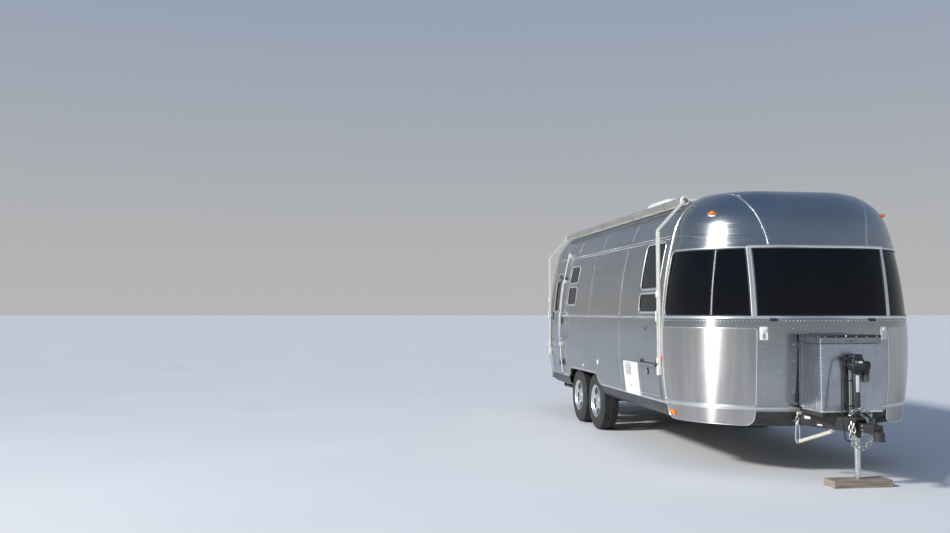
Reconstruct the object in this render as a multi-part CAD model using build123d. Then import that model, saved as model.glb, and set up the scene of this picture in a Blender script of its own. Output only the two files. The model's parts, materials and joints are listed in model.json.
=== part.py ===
from build123d import *
from math import atan2, cos, degrees, hypot, pi, radians, sin, sqrt, tan
import os

os.makedirs("parts", exist_ok=True)

# Riveted aluminium travel caravan, in millimetres.
# X runs forward to the hitch, Y to the road side, Z up.
# The origin is on the ground, midway between the coupler's tip and the rear bumper.

# Shell: three tangent arcs from the lower wall to a flat strip along the crown.
front_joint = 2080           # where the front end cap meets the straight walls
rear_joint = -2940
half_width = 1285
crown_flat = 305             # half width of the flat strip; the caps turn about its edge
roof_top = 2805
wall_bottom = 607
side_radius = 4200
side_widest = 1250           # height at which the walls are widest
shoulder_radius = 520
crown_radius = 2600
wall = 45
belt = 1486                  # seam between lower and upper panels
roof_seam = 2330             # seam between side walls and roof
fit = 0.3                    # seating gap between curved faces
cap_reach = half_width - crown_flat
nose = front_joint + cap_reach
tail = rear_joint - cap_reach

# Window band round both ends.
band_bottom = belt + 26
band_top = band_bottom + 656
band_reach = nose - cap_reach * 0.6      # cuts from ahead start here and meet one end wall only
centre_window_half = 662
wrap_window_front = 712
wrap_window_rear = 75        # from the joint to the wrap window's rear edge
foot_rail_z = (wall_bottom, wall_bottom + 32)
band_corner = 70
centre_corner = 25
outside = 100                # how far cutting prisms reach past the shell
glass = 6
glass_inset = 4
frame_proud = 5
frame_width = 24

# Floor, belly pan and chassis.
floor_thick = 32
pan_bottom = 457
pan_corner = 150
pan_sheet = 12
rail_width = 50
rail_half_track = 600
rail_top = wall_bottom - fit
rail_bottom = 475
cross_positions = [tail + 360, -2450, 60, 760, 1460, front_joint + 80]
cross_width = 50

# Running gear.
axle_middle = -1110
axle_spacing = 864
tyre_radius = 371.5
tyre_width = 225
tyre_outer_face = 1212
rim_radius = 203
spindle_radius = 40
running_fit = 0.08
axle_tube = 76
axle_height = 415
arch_bottom_length = 1640
arch_top_length = 1440
arch_top = 742
arch_corner = 90
well_top = 815
well_inner = 900
well_sheet = 8

# Towing end.
ball_centre_x = nose + 820
coupler_height = 462
jack_x = nose + 479
jack_tube_radius = 29
jack_leg_radius = 25.4
jack_head_z = (1020, 1172)
jack_tube_bottom = 430
jack_leg_top = 700
jack_lift = 300
block_size = (190, 550, 65)
tongue_beam = (60, 120)
tongue_bottom = 487
tongue_root_x = front_joint + 60
tongue_tip_x = nose + 580
tongue_tip_y = 52
cover_front = nose + 414
cover_rear = nose + 22
cover_half_width = 298
cover_bottom = 645
cover_top = 1340
cover_sheet = 4
lid_depth = 75

# Entry door, right side, hinged on its forward edge.
door_front = -2270
door_width = 560
door_bottom = 640
door_top = 2330
door_gap = 6
door_hinge_out = 22          # hinge pin outside the widest point of the wall
door_plug_corner = 130
door_flange_corner = 90
hinge_pin = 6
hinge_barrel = 12


def tangent_centre():
    """Centre of the shoulder arc, tangent to the side arc and the crown arc."""
    sy, sz = half_width - side_radius, side_widest
    cy, cz = crown_flat, roof_top - crown_radius
    r1 = side_radius - shoulder_radius
    r2 = crown_radius - shoulder_radius
    gap = hypot(cy - sy, cz - sz)
    along = (r1 ** 2 - r2 ** 2 + gap ** 2) / (2 * gap)
    off = sqrt(r1 ** 2 - along ** 2)
    uy, uz = (cy - sy) / gap, (cz - sz) / gap
    return sy + along * uy - off * uz, sz + along * uz + off * uy


def on_arc(centre, radius, angle):
    return centre[0] + radius * cos(angle), centre[1] + radius * sin(angle)


def arc(centre, radius, start, end):
    return ThreePointArc(
        on_arc(centre, radius, start),
        on_arc(centre, radius, (start + end) / 2),
        on_arc(centre, radius, end),
    )


def wall_y(height, inset=0):
    """Half width of the lower and upper side arc at a height."""
    return half_width - side_radius + sqrt((side_radius - inset) ** 2 - (height - side_widest) ** 2)


def half_section(inset, bottom, inner_y):
    """Half of the body's section, from inner_y out to the wall, as a face in Y and Z."""
    side_centre = (half_width - side_radius, side_widest)
    shoulder = tangent_centre()
    crown_centre = (crown_flat, roof_top - crown_radius)
    low = atan2(bottom - side_widest, wall_y(bottom, inset) - side_centre[0])
    high = atan2(shoulder[1] - side_centre[1], shoulder[0] - side_centre[0])
    turn = atan2(shoulder[1] - crown_centre[1], shoulder[0] - crown_centre[0])
    top = roof_top - inset
    edges = [
        Line((inner_y, bottom), (wall_y(bottom, inset), bottom)),
        arc(side_centre, side_radius - inset, low, high),
        arc(shoulder, shoulder_radius - inset, high, turn),
        arc(crown_centre, crown_radius - inset, turn, pi / 2),
        Line((inner_y, top), (inner_y, bottom)),
    ]
    if inner_y < crown_flat:
        edges.insert(4, Line((crown_flat, top), (inner_y, top)))
    return Face(Wire(edges))


def both_sides(shape):
    return shape + mirror(shape, about=Plane.XZ)


def mid_body(inset, bottom, margin=0):
    face = half_section(inset, bottom, 0)
    length = front_joint - rear_joint + 2 * margin
    half = extrude(Plane.YZ.offset(rear_joint - margin) * face, amount=length)
    return both_sides(half)


def front_body(inset, bottom):
    """The front end cap: the section turned about both edges of the crown strip."""
    face = half_section(inset, bottom, crown_flat)
    standing = Plane.YZ.offset(front_joint) * face
    turn_axis = Axis((front_joint, crown_flat, 0), (0, 0, -1))
    corner = revolve(standing, turn_axis, 90)
    middle_plane = Plane(
        origin=(front_joint - crown_flat, crown_flat, 0), x_dir=(1, 0, 0), z_dir=(0, -1, 0)
    )
    middle = extrude(middle_plane * face, amount=2 * crown_flat)
    return both_sides(corner) + middle


def to_rear(shape):
    """The rear end is the front end mirrored about the middle of the straight walls."""
    return mirror(shape, about=Plane.YZ.offset((front_joint + rear_joint) / 2))


def block(x, y, z):
    """Box from three (low, high) pairs."""
    return Pos((x[0] + x[1]) / 2, (y[0] + y[1]) / 2, (z[0] + z[1]) / 2) * Box(
        x[1] - x[0], y[1] - y[0], z[1] - z[0]
    )


def side_prism(x, z, corner, y):
    """Rounded rectangle seen from the side, carried through the wall along Y."""
    outline = Pos((x[0] + x[1]) / 2, (z[0] + z[1]) / 2) * RectangleRounded(x[1] - x[0], z[1] - z[0], corner)
    plane = Plane(origin=(0, y[1], 0), x_dir=(1, 0, 0), z_dir=(0, -1, 0))
    return extrude(plane * outline, amount=y[1] - y[0])


def end_prism(y, z, corner, x):
    """Rounded rectangle seen from the front, carried along X."""
    outline = Pos((y[0] + y[1]) / 2, (z[0] + z[1]) / 2) * RectangleRounded(y[1] - y[0], z[1] - z[0], corner)
    return extrude(Plane.YZ.offset(x[0]) * outline, amount=x[1] - x[0])


def save(shape, node):
    export_step(shape, "parts/" + node + ".step")
    return shape


far = 6000
whole_span = (-far, far)

# End caps: a lower and an upper panel at each end, windows cut in the upper one.
front_shell = front_body(0, wall_bottom) - front_body(wall, wall_bottom - 50)


def band_cutters(grow):
    """Prisms through the three windows of an end, grown all round."""
    z = (band_bottom - grow, band_top + grow)
    centre = end_prism(
        (-centre_window_half - grow, centre_window_half + grow), z, centre_corner + grow, (band_reach, nose + outside)
    )
    wrap = side_prism(
        (front_joint + wrap_window_rear - grow, nose + cap_reach), z, band_corner + grow,
        (wrap_window_front - grow, half_width + outside),
    )
    return [centre, wrap, mirror(wrap, about=Plane.XZ)]


below_belt = block(whole_span, whole_span, (0, belt))
above_belt = block(whole_span, whole_span, (belt, far))
front_lower = front_shell & below_belt
front_upper = front_shell & above_belt
for cutter in band_cutters(0):
    front_upper -= cutter

front_glass_layer = front_body(glass_inset, wall_bottom) - front_body(glass_inset + glass, wall_bottom - 50)
front_glass = Compound([front_glass_layer & cutter for cutter in band_cutters(-fit)])

save(front_upper, "front_upper_panel")
save(front_glass, "front_windows")
save(to_rear(front_lower), "rear_lower_panel")
save(to_rear(front_upper), "rear_upper_panel")
save(to_rear(front_glass), "rear_windows")

# Straight part of the shell: two side walls and the roof.
mid_shell = mid_body(0, wall_bottom) - mid_body(wall, wall_bottom - 50, margin=50)
below_seam = (0, roof_seam)
side_right = mid_shell & block(whole_span, (-far, 0), below_seam)
side_left = mid_shell & block(whole_span, (0, far), below_seam)
roof = mid_shell & block(whole_span, whole_span, (roof_seam, far))

# Side windows: X from, X to, Z from, Z to, corner.
bedroom_windows = [
    (1340, 1930, 1800, 2290, 60),
    (1340, 1930, 1550, 1750, 50),
]
bath_windows = [
    (-1910, -1460, 1965, 2200, 40),
    (-1910, -1460, 1655, 1905, 40),
]
galley_windows = [
    (-620, 330, 1560, 2170, 60),
]
lounge_windows = [
    (-2790, -2050, 1560, 2170, 60),
]
right_windows = bedroom_windows + bath_windows
left_windows = bedroom_windows + galley_windows + lounge_windows

wall_zone = 350              # depth in Y that holds the curved side wall
right_wall_span = (-half_width - outside, -half_width + wall_zone)
left_wall_span = (half_width - wall_zone, half_width + outside)


def window_cutters(windows, wall_span, grow):
    return [
        side_prism((x0 - grow, x1 + grow), (z0 - grow, z1 + grow), corner + grow, wall_span)
        for x0, x1, z0, z1, corner in windows
    ]


side_glass_layer = mid_body(glass_inset, wall_bottom) - mid_body(glass_inset + glass, wall_bottom - 50, margin=50)
frame_layer = mid_body(-frame_proud, wall_bottom) - mid_body(-fit, wall_bottom - 50, margin=50)


def side_glass(windows, wall_span):
    return Compound([side_glass_layer & cutter for cutter in window_cutters(windows, wall_span, -fit)])


def side_frames(windows, wall_span):
    rings = []
    for outer, inner in zip(
        window_cutters(windows, wall_span, frame_width), window_cutters(windows, wall_span, 0)
    ):
        rings.append((frame_layer & outer) - inner)
    return rings


for cutter in window_cutters(right_windows, right_wall_span, 0):
    side_right -= cutter
for cutter in window_cutters(left_windows, left_wall_span, 0):
    side_left -= cutter


# Wheel arches: a low opening with sloping ends, cut through wall and belly pan.
def arch_prism(grow, y, bottom):
    low = arch_bottom_length / 2 + grow
    high = arch_top_length / 2 + grow
    slope = (low - high) / (arch_top - wall_bottom)
    foot = low + slope * (wall_bottom - bottom) * 0.3
    outline = Polyline(
        (axle_middle - foot, bottom),
        (axle_middle - low, wall_bottom),
        (axle_middle - high, arch_top + grow),
        (axle_middle + high, arch_top + grow),
        (axle_middle + low, wall_bottom),
        (axle_middle + foot, bottom),
        close=True,
    )
    face = make_face(outline)
    top_corners = face.vertices().sort_by(Axis.Y)[-2:]
    face = fillet(top_corners, arch_corner)
    plane = Plane(origin=(0, y[1], 0), x_dir=(1, 0, 0), z_dir=(0, -1, 0))
    return extrude(plane * face, amount=y[1] - y[0])


side_right -= arch_prism(0, right_wall_span, 0)
side_left -= arch_prism(0, left_wall_span, 0)

# Entry door: a thick leaf with a thin flange that laps the opening.
door_x = (door_front - door_width, door_front)
door_z = (door_bottom, door_top)
pin_y = -(half_width + door_hinge_out)
door_pin_x = door_front + 4
flange_lap = 14
opening_door = side_prism(
    (door_x[0], door_x[1]), door_z, door_flange_corner - 20, right_wall_span
)
side_right -= opening_door
leaf_x = (door_x[0] + door_gap, door_x[1] - door_gap)
leaf_z = (door_z[0] + door_gap, door_z[1] - door_gap)
swing_radius = door_pin_x - leaf_x[0]
swing = Pos(door_pin_x, pin_y, 0) * Cylinder(
    swing_radius, roof_top, align=(Align.CENTER, Align.CENTER, Align.MIN)
)
leaf = mid_shell & side_prism(leaf_x, leaf_z, door_plug_corner, right_wall_span) & swing
flange_layer = mid_body(-5, wall_bottom) - mid_body(0, wall_bottom - 50, margin=50)
flange = flange_layer & side_prism(
    (door_x[0] - flange_lap, door_x[1] - 2), (door_z[0] - flange_lap, door_z[1] + flange_lap),
    door_flange_corner, right_wall_span,
)
door_window = (door_x[0] + 150, door_x[1] - 130, 1560, 2120, 90)
door_glass = side_glass([door_window], right_wall_span)
entry_door = leaf + flange
for cutter in window_cutters([door_window], right_wall_span, 0):
    entry_door -= cutter

# Door hinges: pins on one upright axis, each on a bracket from the wall.
door_hinge_heights = [800, 1420, 2040]
hinge_length = 90


def door_hinge_pair(height):
    """Fixed bracket with its pin, and the leaf's barrel that turns on it."""
    half_length = hinge_length / 2
    skin = max(wall_y(height - half_length), wall_y(height + half_length))
    pin = Pos(door_pin_x, pin_y, height) * Cylinder(hinge_pin, hinge_length)
    ears = []
    for end in (-1, 1):
        z = height + end * (half_length - 9)
        ear = Pos(door_pin_x, pin_y, z) * Cylinder(hinge_barrel, 16)
        reach = block(
            (door_pin_x + 1, door_pin_x + 46), (pin_y - 5, -max(wall_y(z - 8), wall_y(z + 8)) - fit), (z - 8, z + 8)
        )
        ears.append(ear + reach)
    plate = block(
        (door_pin_x + 22, door_pin_x + 50), (-skin - 14, -skin - 6), (height - half_length, height + half_length)
    )
    fixed = pin + ears[0] + ears[1] + plate
    gap = 1
    half = half_length - 17 - gap
    barrel = Pos(door_pin_x, pin_y, height) * Cylinder(hinge_barrel, 2 * half)
    leaf_skin = max(wall_y(height - half), wall_y(height + half))
    tongue = block((door_x[1] - 60, door_pin_x), (pin_y - 5, -leaf_skin - 1), (height - half, height + half))
    moving = (barrel + tongue) - Pos(door_pin_x, pin_y, height) * Cylinder(hinge_pin + running_fit, 4 * half)
    return fixed, moving


door_brackets = []
for height in door_hinge_heights:
    fixed, moving = door_hinge_pair(height)
    door_brackets.append(fixed)
    entry_door += moving

# Access hatch, right side towards the front: thick leaf and lapping flange, hinged along its top.
hatch_x = (1385, 1965)
hatch_z = (foot_rail_z[1] + 22, 985)
hatch_gap = 6
hatch_pin_z = hatch_z[1] + 12
hatch_pin_y = -(half_width + 14)
hatch_barrel = 8
hatch_pin = 4
side_right -= side_prism(hatch_x, hatch_z, 30, right_wall_span)
hatch_leaf = mid_shell & side_prism(
    (hatch_x[0] + hatch_gap, hatch_x[1] - hatch_gap), (hatch_z[0] + hatch_gap, hatch_z[1] - hatch_gap), 40, right_wall_span
)
hatch_swing = Pos(sum(hatch_x) / 2, hatch_pin_y, hatch_pin_z) * Rot(0, 90, 0) * Cylinder(
    hatch_pin_z - hatch_z[0] - hatch_gap, 2000
)
hatch_flange = flange_layer & side_prism(
    (hatch_x[0] - flange_lap, hatch_x[1] + flange_lap), (hatch_z[0] - flange_lap, hatch_z[1] + 2), 30, right_wall_span
)
hatch = (hatch_leaf & hatch_swing) + hatch_flange
hatch_middle = sum(hatch_x) / 2
hatch_hinge_half = 230
hatch_ear_half = 14


def along_x(x, y, z, radius, half):
    return Pos(x, y, z) * Rot(0, 90, 0) * Cylinder(radius, 2 * half)


hatch_tongue = block(
    (hatch_middle - hatch_hinge_half, hatch_middle + hatch_hinge_half),
    (hatch_pin_y - hatch_barrel, -wall_y(hatch_z[1]) - 2), (hatch_z[1] - 14, hatch_pin_z),
)
hatch += along_x(hatch_middle, hatch_pin_y, hatch_pin_z, hatch_barrel, hatch_hinge_half) + hatch_tongue
hatch -= along_x(hatch_middle, hatch_pin_y, hatch_pin_z, hatch_pin + running_fit, far)
hatch_hinge = along_x(hatch_middle, hatch_pin_y, hatch_pin_z, hatch_pin, hatch_hinge_half + 2 * hatch_ear_half)
for side in (-1, 1):
    x0 = hatch_middle + side * (hatch_hinge_half + hatch_ear_half + 1)
    hatch_hinge += along_x(x0, hatch_pin_y, hatch_pin_z, hatch_barrel, hatch_ear_half - 1)
    hatch_hinge += block(
        (x0 - hatch_ear_half + 1, x0 + hatch_ear_half - 1),
        (hatch_pin_y - 3, -wall_y(hatch_z[1] + 60) - fit), (hatch_pin_z, hatch_pin_z + 40),
    )
save(hatch, "access_hatch")

save(side_right, "side_wall_right")
save(side_left, "side_wall_left")
save(roof, "roof")
save(
    Compound([side_glass(right_windows, right_wall_span), side_glass(left_windows, left_wall_span)]), "side_windows"
)
save(
    Compound(side_frames(right_windows, right_wall_span) + side_frames(left_windows, left_wall_span)),
    "side_window_frames",
)
save(entry_door, "entry_door")
save(door_glass, "entry_door_window")
save(Compound(door_brackets + [hatch_hinge]), "side_wall_hinges")

# Floor and belly pan.
def pan_half_section(inset, inner_y):
    """Half section of the pan: straight top edge, one round corner, flat bottom."""
    edge = wall_y(wall_bottom) - inset
    radius = pan_corner - inset
    bottom = pan_bottom + inset
    corner = (edge - radius, bottom + radius)
    return Face(Wire([
        Line((inner_y, bottom), (corner[0], bottom)),
        arc(corner, radius, -pi / 2, 0),
        Line((edge, bottom + radius), (inner_y, bottom + radius)),
        Line((inner_y, bottom + radius), (inner_y, bottom)),
    ]))


def pan_body(inset):
    """Belly pan outline: straight between the joints, turned round at both ends."""
    straight = extrude(
        Plane.YZ.offset(rear_joint) * pan_half_section(inset, 0), amount=front_joint - rear_joint
    )
    face = pan_half_section(inset, crown_flat)
    turn_axis = Axis((front_joint, crown_flat, 0), (0, 0, -1))
    corner = revolve(Plane.YZ.offset(front_joint) * face, turn_axis, 90)
    middle_plane = Plane(
        origin=(front_joint - crown_flat, crown_flat, 0), x_dir=(1, 0, 0), z_dir=(0, -1, 0)
    )
    end = both_sides(corner) + extrude(middle_plane * face, amount=2 * crown_flat)
    inner_box = block((front_joint - 1, front_joint + 10), (-crown_flat, crown_flat), (pan_bottom + inset, wall_bottom))
    end += inner_box
    return both_sides(straight) + end + to_rear(end)


def plan_slab(inset, z):
    """Level slab that fits inside the shell's walls."""
    edge = wall_y(wall_bottom, wall) - inset
    radius = edge - crown_flat
    length = front_joint - rear_joint
    middle = block((rear_joint, front_joint), (-edge, edge), z)
    ends = block((rear_joint - radius, front_joint + radius), (-crown_flat, crown_flat), z)
    slab = middle + ends
    for x in (front_joint, rear_joint):
        for y in (-crown_flat, crown_flat):
            slab += Pos(x, y, (z[0] + z[1]) / 2) * Cylinder(radius, z[1] - z[0])
    return slab


well_x = (axle_middle - arch_bottom_length / 2 - 15, axle_middle + arch_bottom_length / 2 + 15)
well_outer = wall_y(wall_bottom, wall) - fit
wheel_bay = block(well_x, (well_inner, half_width + 200), (0, well_top))
well = block(
    (well_x[0] - well_sheet, well_x[1] + well_sheet),
    (well_inner - well_sheet, well_outer),
    (wall_bottom + fit, well_top + well_sheet),
) - block(well_x, (well_inner, far), (0, well_top))
belly_pan = pan_body(0) - pan_body(pan_sheet)
floor = plan_slab(fit, (wall_bottom, wall_bottom + floor_thick))
floor_cut = block(
    (well_x[0] - well_sheet - fit, well_x[1] + well_sheet + fit),
    (well_inner - well_sheet - fit, half_width + 200), (0, well_top),
)
floor -= both_sides(floor_cut)
pan_cut = arch_prism(0, (well_inner, half_width + 200), pan_bottom - 100)
belly_pan -= both_sides(pan_cut)

# Chassis: two long rails, cross members and bumper arms.
rail_y = (rail_half_track - rail_width / 2, rail_half_track + rail_width / 2)
pan_tail = rear_joint - (wall_y(wall_bottom) - crown_flat)
bumper_x = (pan_tail - 79.5, pan_tail - 9.5)
rail_x = (bumper_x[1] + fit, front_joint + 160)
rail = block(rail_x, rail_y, (rail_bottom, rail_top))
chassis = [rail, mirror(rail, about=Plane.XZ)]
for x in cross_positions:
    chassis.append(block(
        (x - cross_width / 2, x + cross_width / 2), (-rail_y[0], rail_y[0]), (rail_bottom, rail_top)
    ))

# Tongue: two beams that meet behind the coupler.
def tongue_side(grow=0):
    run = tongue_tip_x - tongue_root_x
    root_y = rail_y[0] - tongue_beam[0] / 2 - fit
    turn = degrees(atan2(root_y - tongue_tip_y, run))
    length = hypot(run, root_y - tongue_tip_y)
    beam = Box(length, tongue_beam[0] + 2 * grow, tongue_beam[1] + 2 * grow)
    middle = ((tongue_root_x + tongue_tip_x) / 2, (root_y + tongue_tip_y) / 2, tongue_bottom + tongue_beam[1] / 2)
    return Pos(*middle) * Rot(0, 0, -turn) * beam


tongue_top = tongue_bottom + tongue_beam[1]
tongue = both_sides(tongue_side())
head_plate = block(
    (jack_x - 50, tongue_tip_x + 60), (-95, 95), (tongue_top, tongue_top + 10)
) - Pos(jack_x, 0, tongue_top) * Cylinder(jack_tube_radius + fit, 60)
tongue -= Pos(jack_x, 0, tongue_top) * Cylinder(jack_tube_radius + fit, 600)
tongue -= block((cross_positions[-1] - cross_width / 2 - 200, cross_positions[-1] + cross_width / 2 + fit), whole_span, (0, far))
belly_pan -= both_sides(tongue_side(fit))
belly_pan -= both_sides(block(
    (rail_x[0] - 10, rear_joint), (rail_y[0] - fit, rail_y[1] + fit), (rail_bottom - fit, rail_top + fit)
))
front_lower -= both_sides(tongue_side(fit))

# Coupler: a channel over the beams' tips with a round cup for the ball.
ball_radius = 29.4
ball_play = 0.5
cup_wall = 17
cup_top = 4
cup_z = (coupler_height - 22, coupler_height + 50)
coupler_half = 44
coupler_body = block(
    (tongue_tip_x - 60, ball_centre_x - 10), (-coupler_half, coupler_half), (tongue_bottom + 10, tongue_bottom + 88)
)
cup = Pos(ball_centre_x, 0, cup_z[0]) * Cylinder(
    ball_radius + cup_wall, cup_z[1] - cup_z[0], align=(Align.CENTER, Align.CENTER, Align.MIN)
)
socket = Pos(ball_centre_x, 0, cup_z[0]) * Cylinder(
    ball_radius + ball_play, cup_z[1] - cup_top - cup_z[0], align=(Align.CENTER, Align.CENTER, Align.MIN)
)
coupler = coupler_body + cup - socket - tongue
save(front_lower, "front_lower_panel")
save(belly_pan, "belly_pan")
save(floor, "floor")
save(Compound([well, mirror(well, about=Plane.XZ)]), "wheel_wells")
save(Compound(chassis), "chassis_frame")
save(Compound([tongue, head_plate]), "tongue")
save(coupler, "coupler")


# Jack on the tongue: outer tube with its motor head, sliding leg and the block it stands on.
jack_tube = Pos(jack_x, 0, jack_tube_bottom) * Cylinder(
    jack_tube_radius, jack_head_z[0] - jack_tube_bottom, align=(Align.CENTER, Align.CENTER, Align.MIN)
)
jack_tube -= Pos(jack_x, 0, jack_tube_bottom) * Cylinder(
    jack_leg_radius + running_fit, jack_leg_top + jack_lift + 10 - jack_tube_bottom,
    align=(Align.CENTER, Align.CENTER, Align.MIN),
)
jack_collar = Pos(jack_x, 0, tongue_top + 10) * Cylinder(
    jack_tube_radius + 16, 12, align=(Align.CENTER, Align.CENTER, Align.MIN)
)
jack_collar -= Pos(jack_x, 0, tongue_top) * Cylinder(jack_tube_radius, 100)
head_width = 118
motor_radius = 36
motor_y = 92
jack_head = Pos(jack_x, 0, sum(jack_head_z) / 2) * Box(head_width, head_width, jack_head_z[1] - jack_head_z[0])
jack_head = fillet(jack_head.edges().filter_by(Axis.Z), 28)
motor = Pos(jack_x, motor_y, jack_head_z[0] - 100) * Cylinder(
    motor_radius, 200, align=(Align.CENTER, Align.CENTER, Align.MIN)
)
jack_housing = jack_tube + jack_collar + jack_head + motor
block_top = block_size[2]
jack_leg = Pos(jack_x, 0, block_top) * Cylinder(
    jack_leg_radius, jack_leg_top - block_top, align=(Align.CENTER, Align.CENTER, Align.MIN)
)
jack_block = Pos(jack_x, 0, block_top / 2) * Box(*block_size)
save(jack_housing, "jack_housing")
save(jack_leg, "jack_leg")
save(jack_block, "jack_block")

# Gas bottle cover: open box on a tray, with a lid hinged at its rear edge.
def cover_plan(grow):
    outline = Pos((cover_front + cover_rear) / 2, 0) * Rectangle(
        cover_front - cover_rear + 2 * grow, 2 * (cover_half_width + grow)
    )
    outline = fillet(outline.vertices().sort_by(Axis.X)[:2], 60 + grow)
    front_corners = outline.vertices().sort_by(Axis.X)[-2:]
    return fillet(front_corners, 14 + grow)


def cover_slab(grow, low, high):
    return extrude(Pos(0, 0, low) * cover_plan(grow), amount=high - low)


lid_bottom = cover_top - lid_depth
lid_gap = 5
gas_cover = cover_slab(0, cover_bottom, lid_bottom - lid_gap) - cover_slab(-cover_sheet, cover_bottom - 10, cover_top)
tray_edge = -cover_sheet - fit
tray_sheet = 3
tray_rim = 30
gas_tray = cover_slab(tray_edge, tongue_top, cover_bottom + tray_rim)
gas_tray -= cover_slab(tray_edge - tray_sheet, tongue_top + tray_sheet, cover_top)
gas_lid = cover_slab(0, lid_bottom, cover_top) - cover_slab(-cover_sheet, lid_bottom - 10, cover_top - cover_sheet)
lid_pin = (cover_rear - 2, cover_top + 6)
lid_pin_radius = 3
lid_barrel = 6
lid_hinge_half = 150


def along_y(x, z, radius, half, y=0):
    return Pos(x, y, z) * Rot(90, 0, 0) * Cylinder(radius, 2 * half)


lid_bore = along_y(lid_pin[0], lid_pin[1], lid_pin_radius + running_fit, far)
gas_lid += along_y(lid_pin[0], lid_pin[1], lid_barrel, lid_hinge_half) + block(
    (lid_pin[0], cover_rear + 60), (-lid_hinge_half, lid_hinge_half), (cover_top - 1, cover_top + 3)
)
gas_lid -= lid_bore
lid_hinge = along_y(lid_pin[0], lid_pin[1], lid_pin_radius, lid_hinge_half + 22)
for side in (-1, 1):
    y0 = side * (lid_hinge_half + 12)
    ear = along_y(lid_pin[0], lid_pin[1], lid_barrel, 10, y0)
    strap = block(
        (lid_pin[0] - lid_barrel, cover_rear - fit), (y0 - 10, y0 + 10), (lid_bottom - 60, lid_pin[1])
    )
    lid_hinge += ear + strap
gas_cover += lid_hinge + block(
    (lid_pin[0] - lid_barrel, cover_rear + 2), (-lid_hinge_half - 22, lid_hinge_half + 22), (lid_bottom - 60, lid_bottom - lid_gap)
)
save(gas_tray, "gas_tray")
save(gas_cover, "gas_bottle_cover")
save(gas_lid, "gas_cover_lid")

# Axles: square tubes under the pan, each with a trailing arm, spindle and drum plate per side.
arm_offset = 120
arm_y = (932, 958)
arm_height = 62
arm_past_ends = 35
hanger_half = 60
backing_radius = 150
backing_half = 4
backing_y = 966
spindle_end = 1160
hub_x = [axle_middle + axle_spacing / 2, axle_middle - axle_spacing / 2]


def axle(x):
    tube = block(
        (x + arm_offset - axle_tube / 2, x + arm_offset + axle_tube / 2), (-arm_y[0], arm_y[0]),
        (axle_height - axle_tube / 2, axle_height + axle_tube / 2),
    )
    hanger = block(
        (x + arm_offset - hanger_half, x + arm_offset + hanger_half), rail_y, (axle_height + axle_tube / 2, pan_bottom)
    )
    run = hypot(arm_offset, axle_height - tyre_radius)
    slope = degrees(atan2(axle_height - tyre_radius, arm_offset))
    arm = Pos(x + arm_offset / 2, sum(arm_y) / 2, (axle_height + tyre_radius) / 2) * Rot(0, -slope, 0) * Box(
        run + 2 * arm_past_ends, arm_y[1] - arm_y[0], arm_height
    )
    plate = along_y(x, tyre_radius, backing_radius, backing_half, backing_y)
    spindle = along_y(x, tyre_radius, spindle_radius, (spindle_end - arm_y[0]) / 2, (spindle_end + arm_y[0]) / 2)
    return tube + both_sides(hanger + arm + plate + spindle)


save(axle(hub_x[0]), "axle_front")
save(axle(hub_x[1]), "axle_rear")

# Wheels: a tyre and an alloy wheel with its drum, on the right; the left ones are mirrored.
spoke_count = 5
spoke_inner = 88
spoke_outer = 178
spoke_width = 44
spoke_fillet = 12
bead_half = 92
tyre_middle = tyre_outer_face - tyre_width / 2


def tyre_solid():
    half = tyre_width / 2
    tread_half = 88
    section = make_face(Polyline(
        (rim_radius, -bead_half), (rim_radius + 14, -bead_half - 6), (rim_radius + 70, -half),
        (rim_radius + 110, -half), (tyre_radius - 18, -tread_half - 10), (tyre_radius, -tread_half + 4),
        (tyre_radius, tread_half - 4), (tyre_radius - 18, tread_half + 10), (rim_radius + 110, half),
        (rim_radius + 70, half), (rim_radius + 14, bead_half + 6), (rim_radius, bead_half), close=True,
    ))
    return revolve(Plane.XY * section, Axis.Y, 360)


def spoke_window():
    """Opening between two spokes: a rounded wedge that leaves spokes of one width."""
    half_angle = pi / spoke_count
    inner = spoke_inner * tan(half_angle) - spoke_width / 2
    outer = spoke_outer * sin(half_angle) - spoke_width / 2
    outline = make_face(Polyline(
        (spoke_inner, -inner), (spoke_outer * cos(half_angle), -outer), (spoke_outer, 0),
        (spoke_outer * cos(half_angle), outer), (spoke_inner, inner), close=True,
    ))
    outline = fillet(outline.vertices(), spoke_fillet)
    plane = Plane(origin=(0, 20, 0), x_dir=(1, 0, 0), z_dir=(0, 1, 0))
    return extrude(plane * outline, amount=100)


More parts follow.
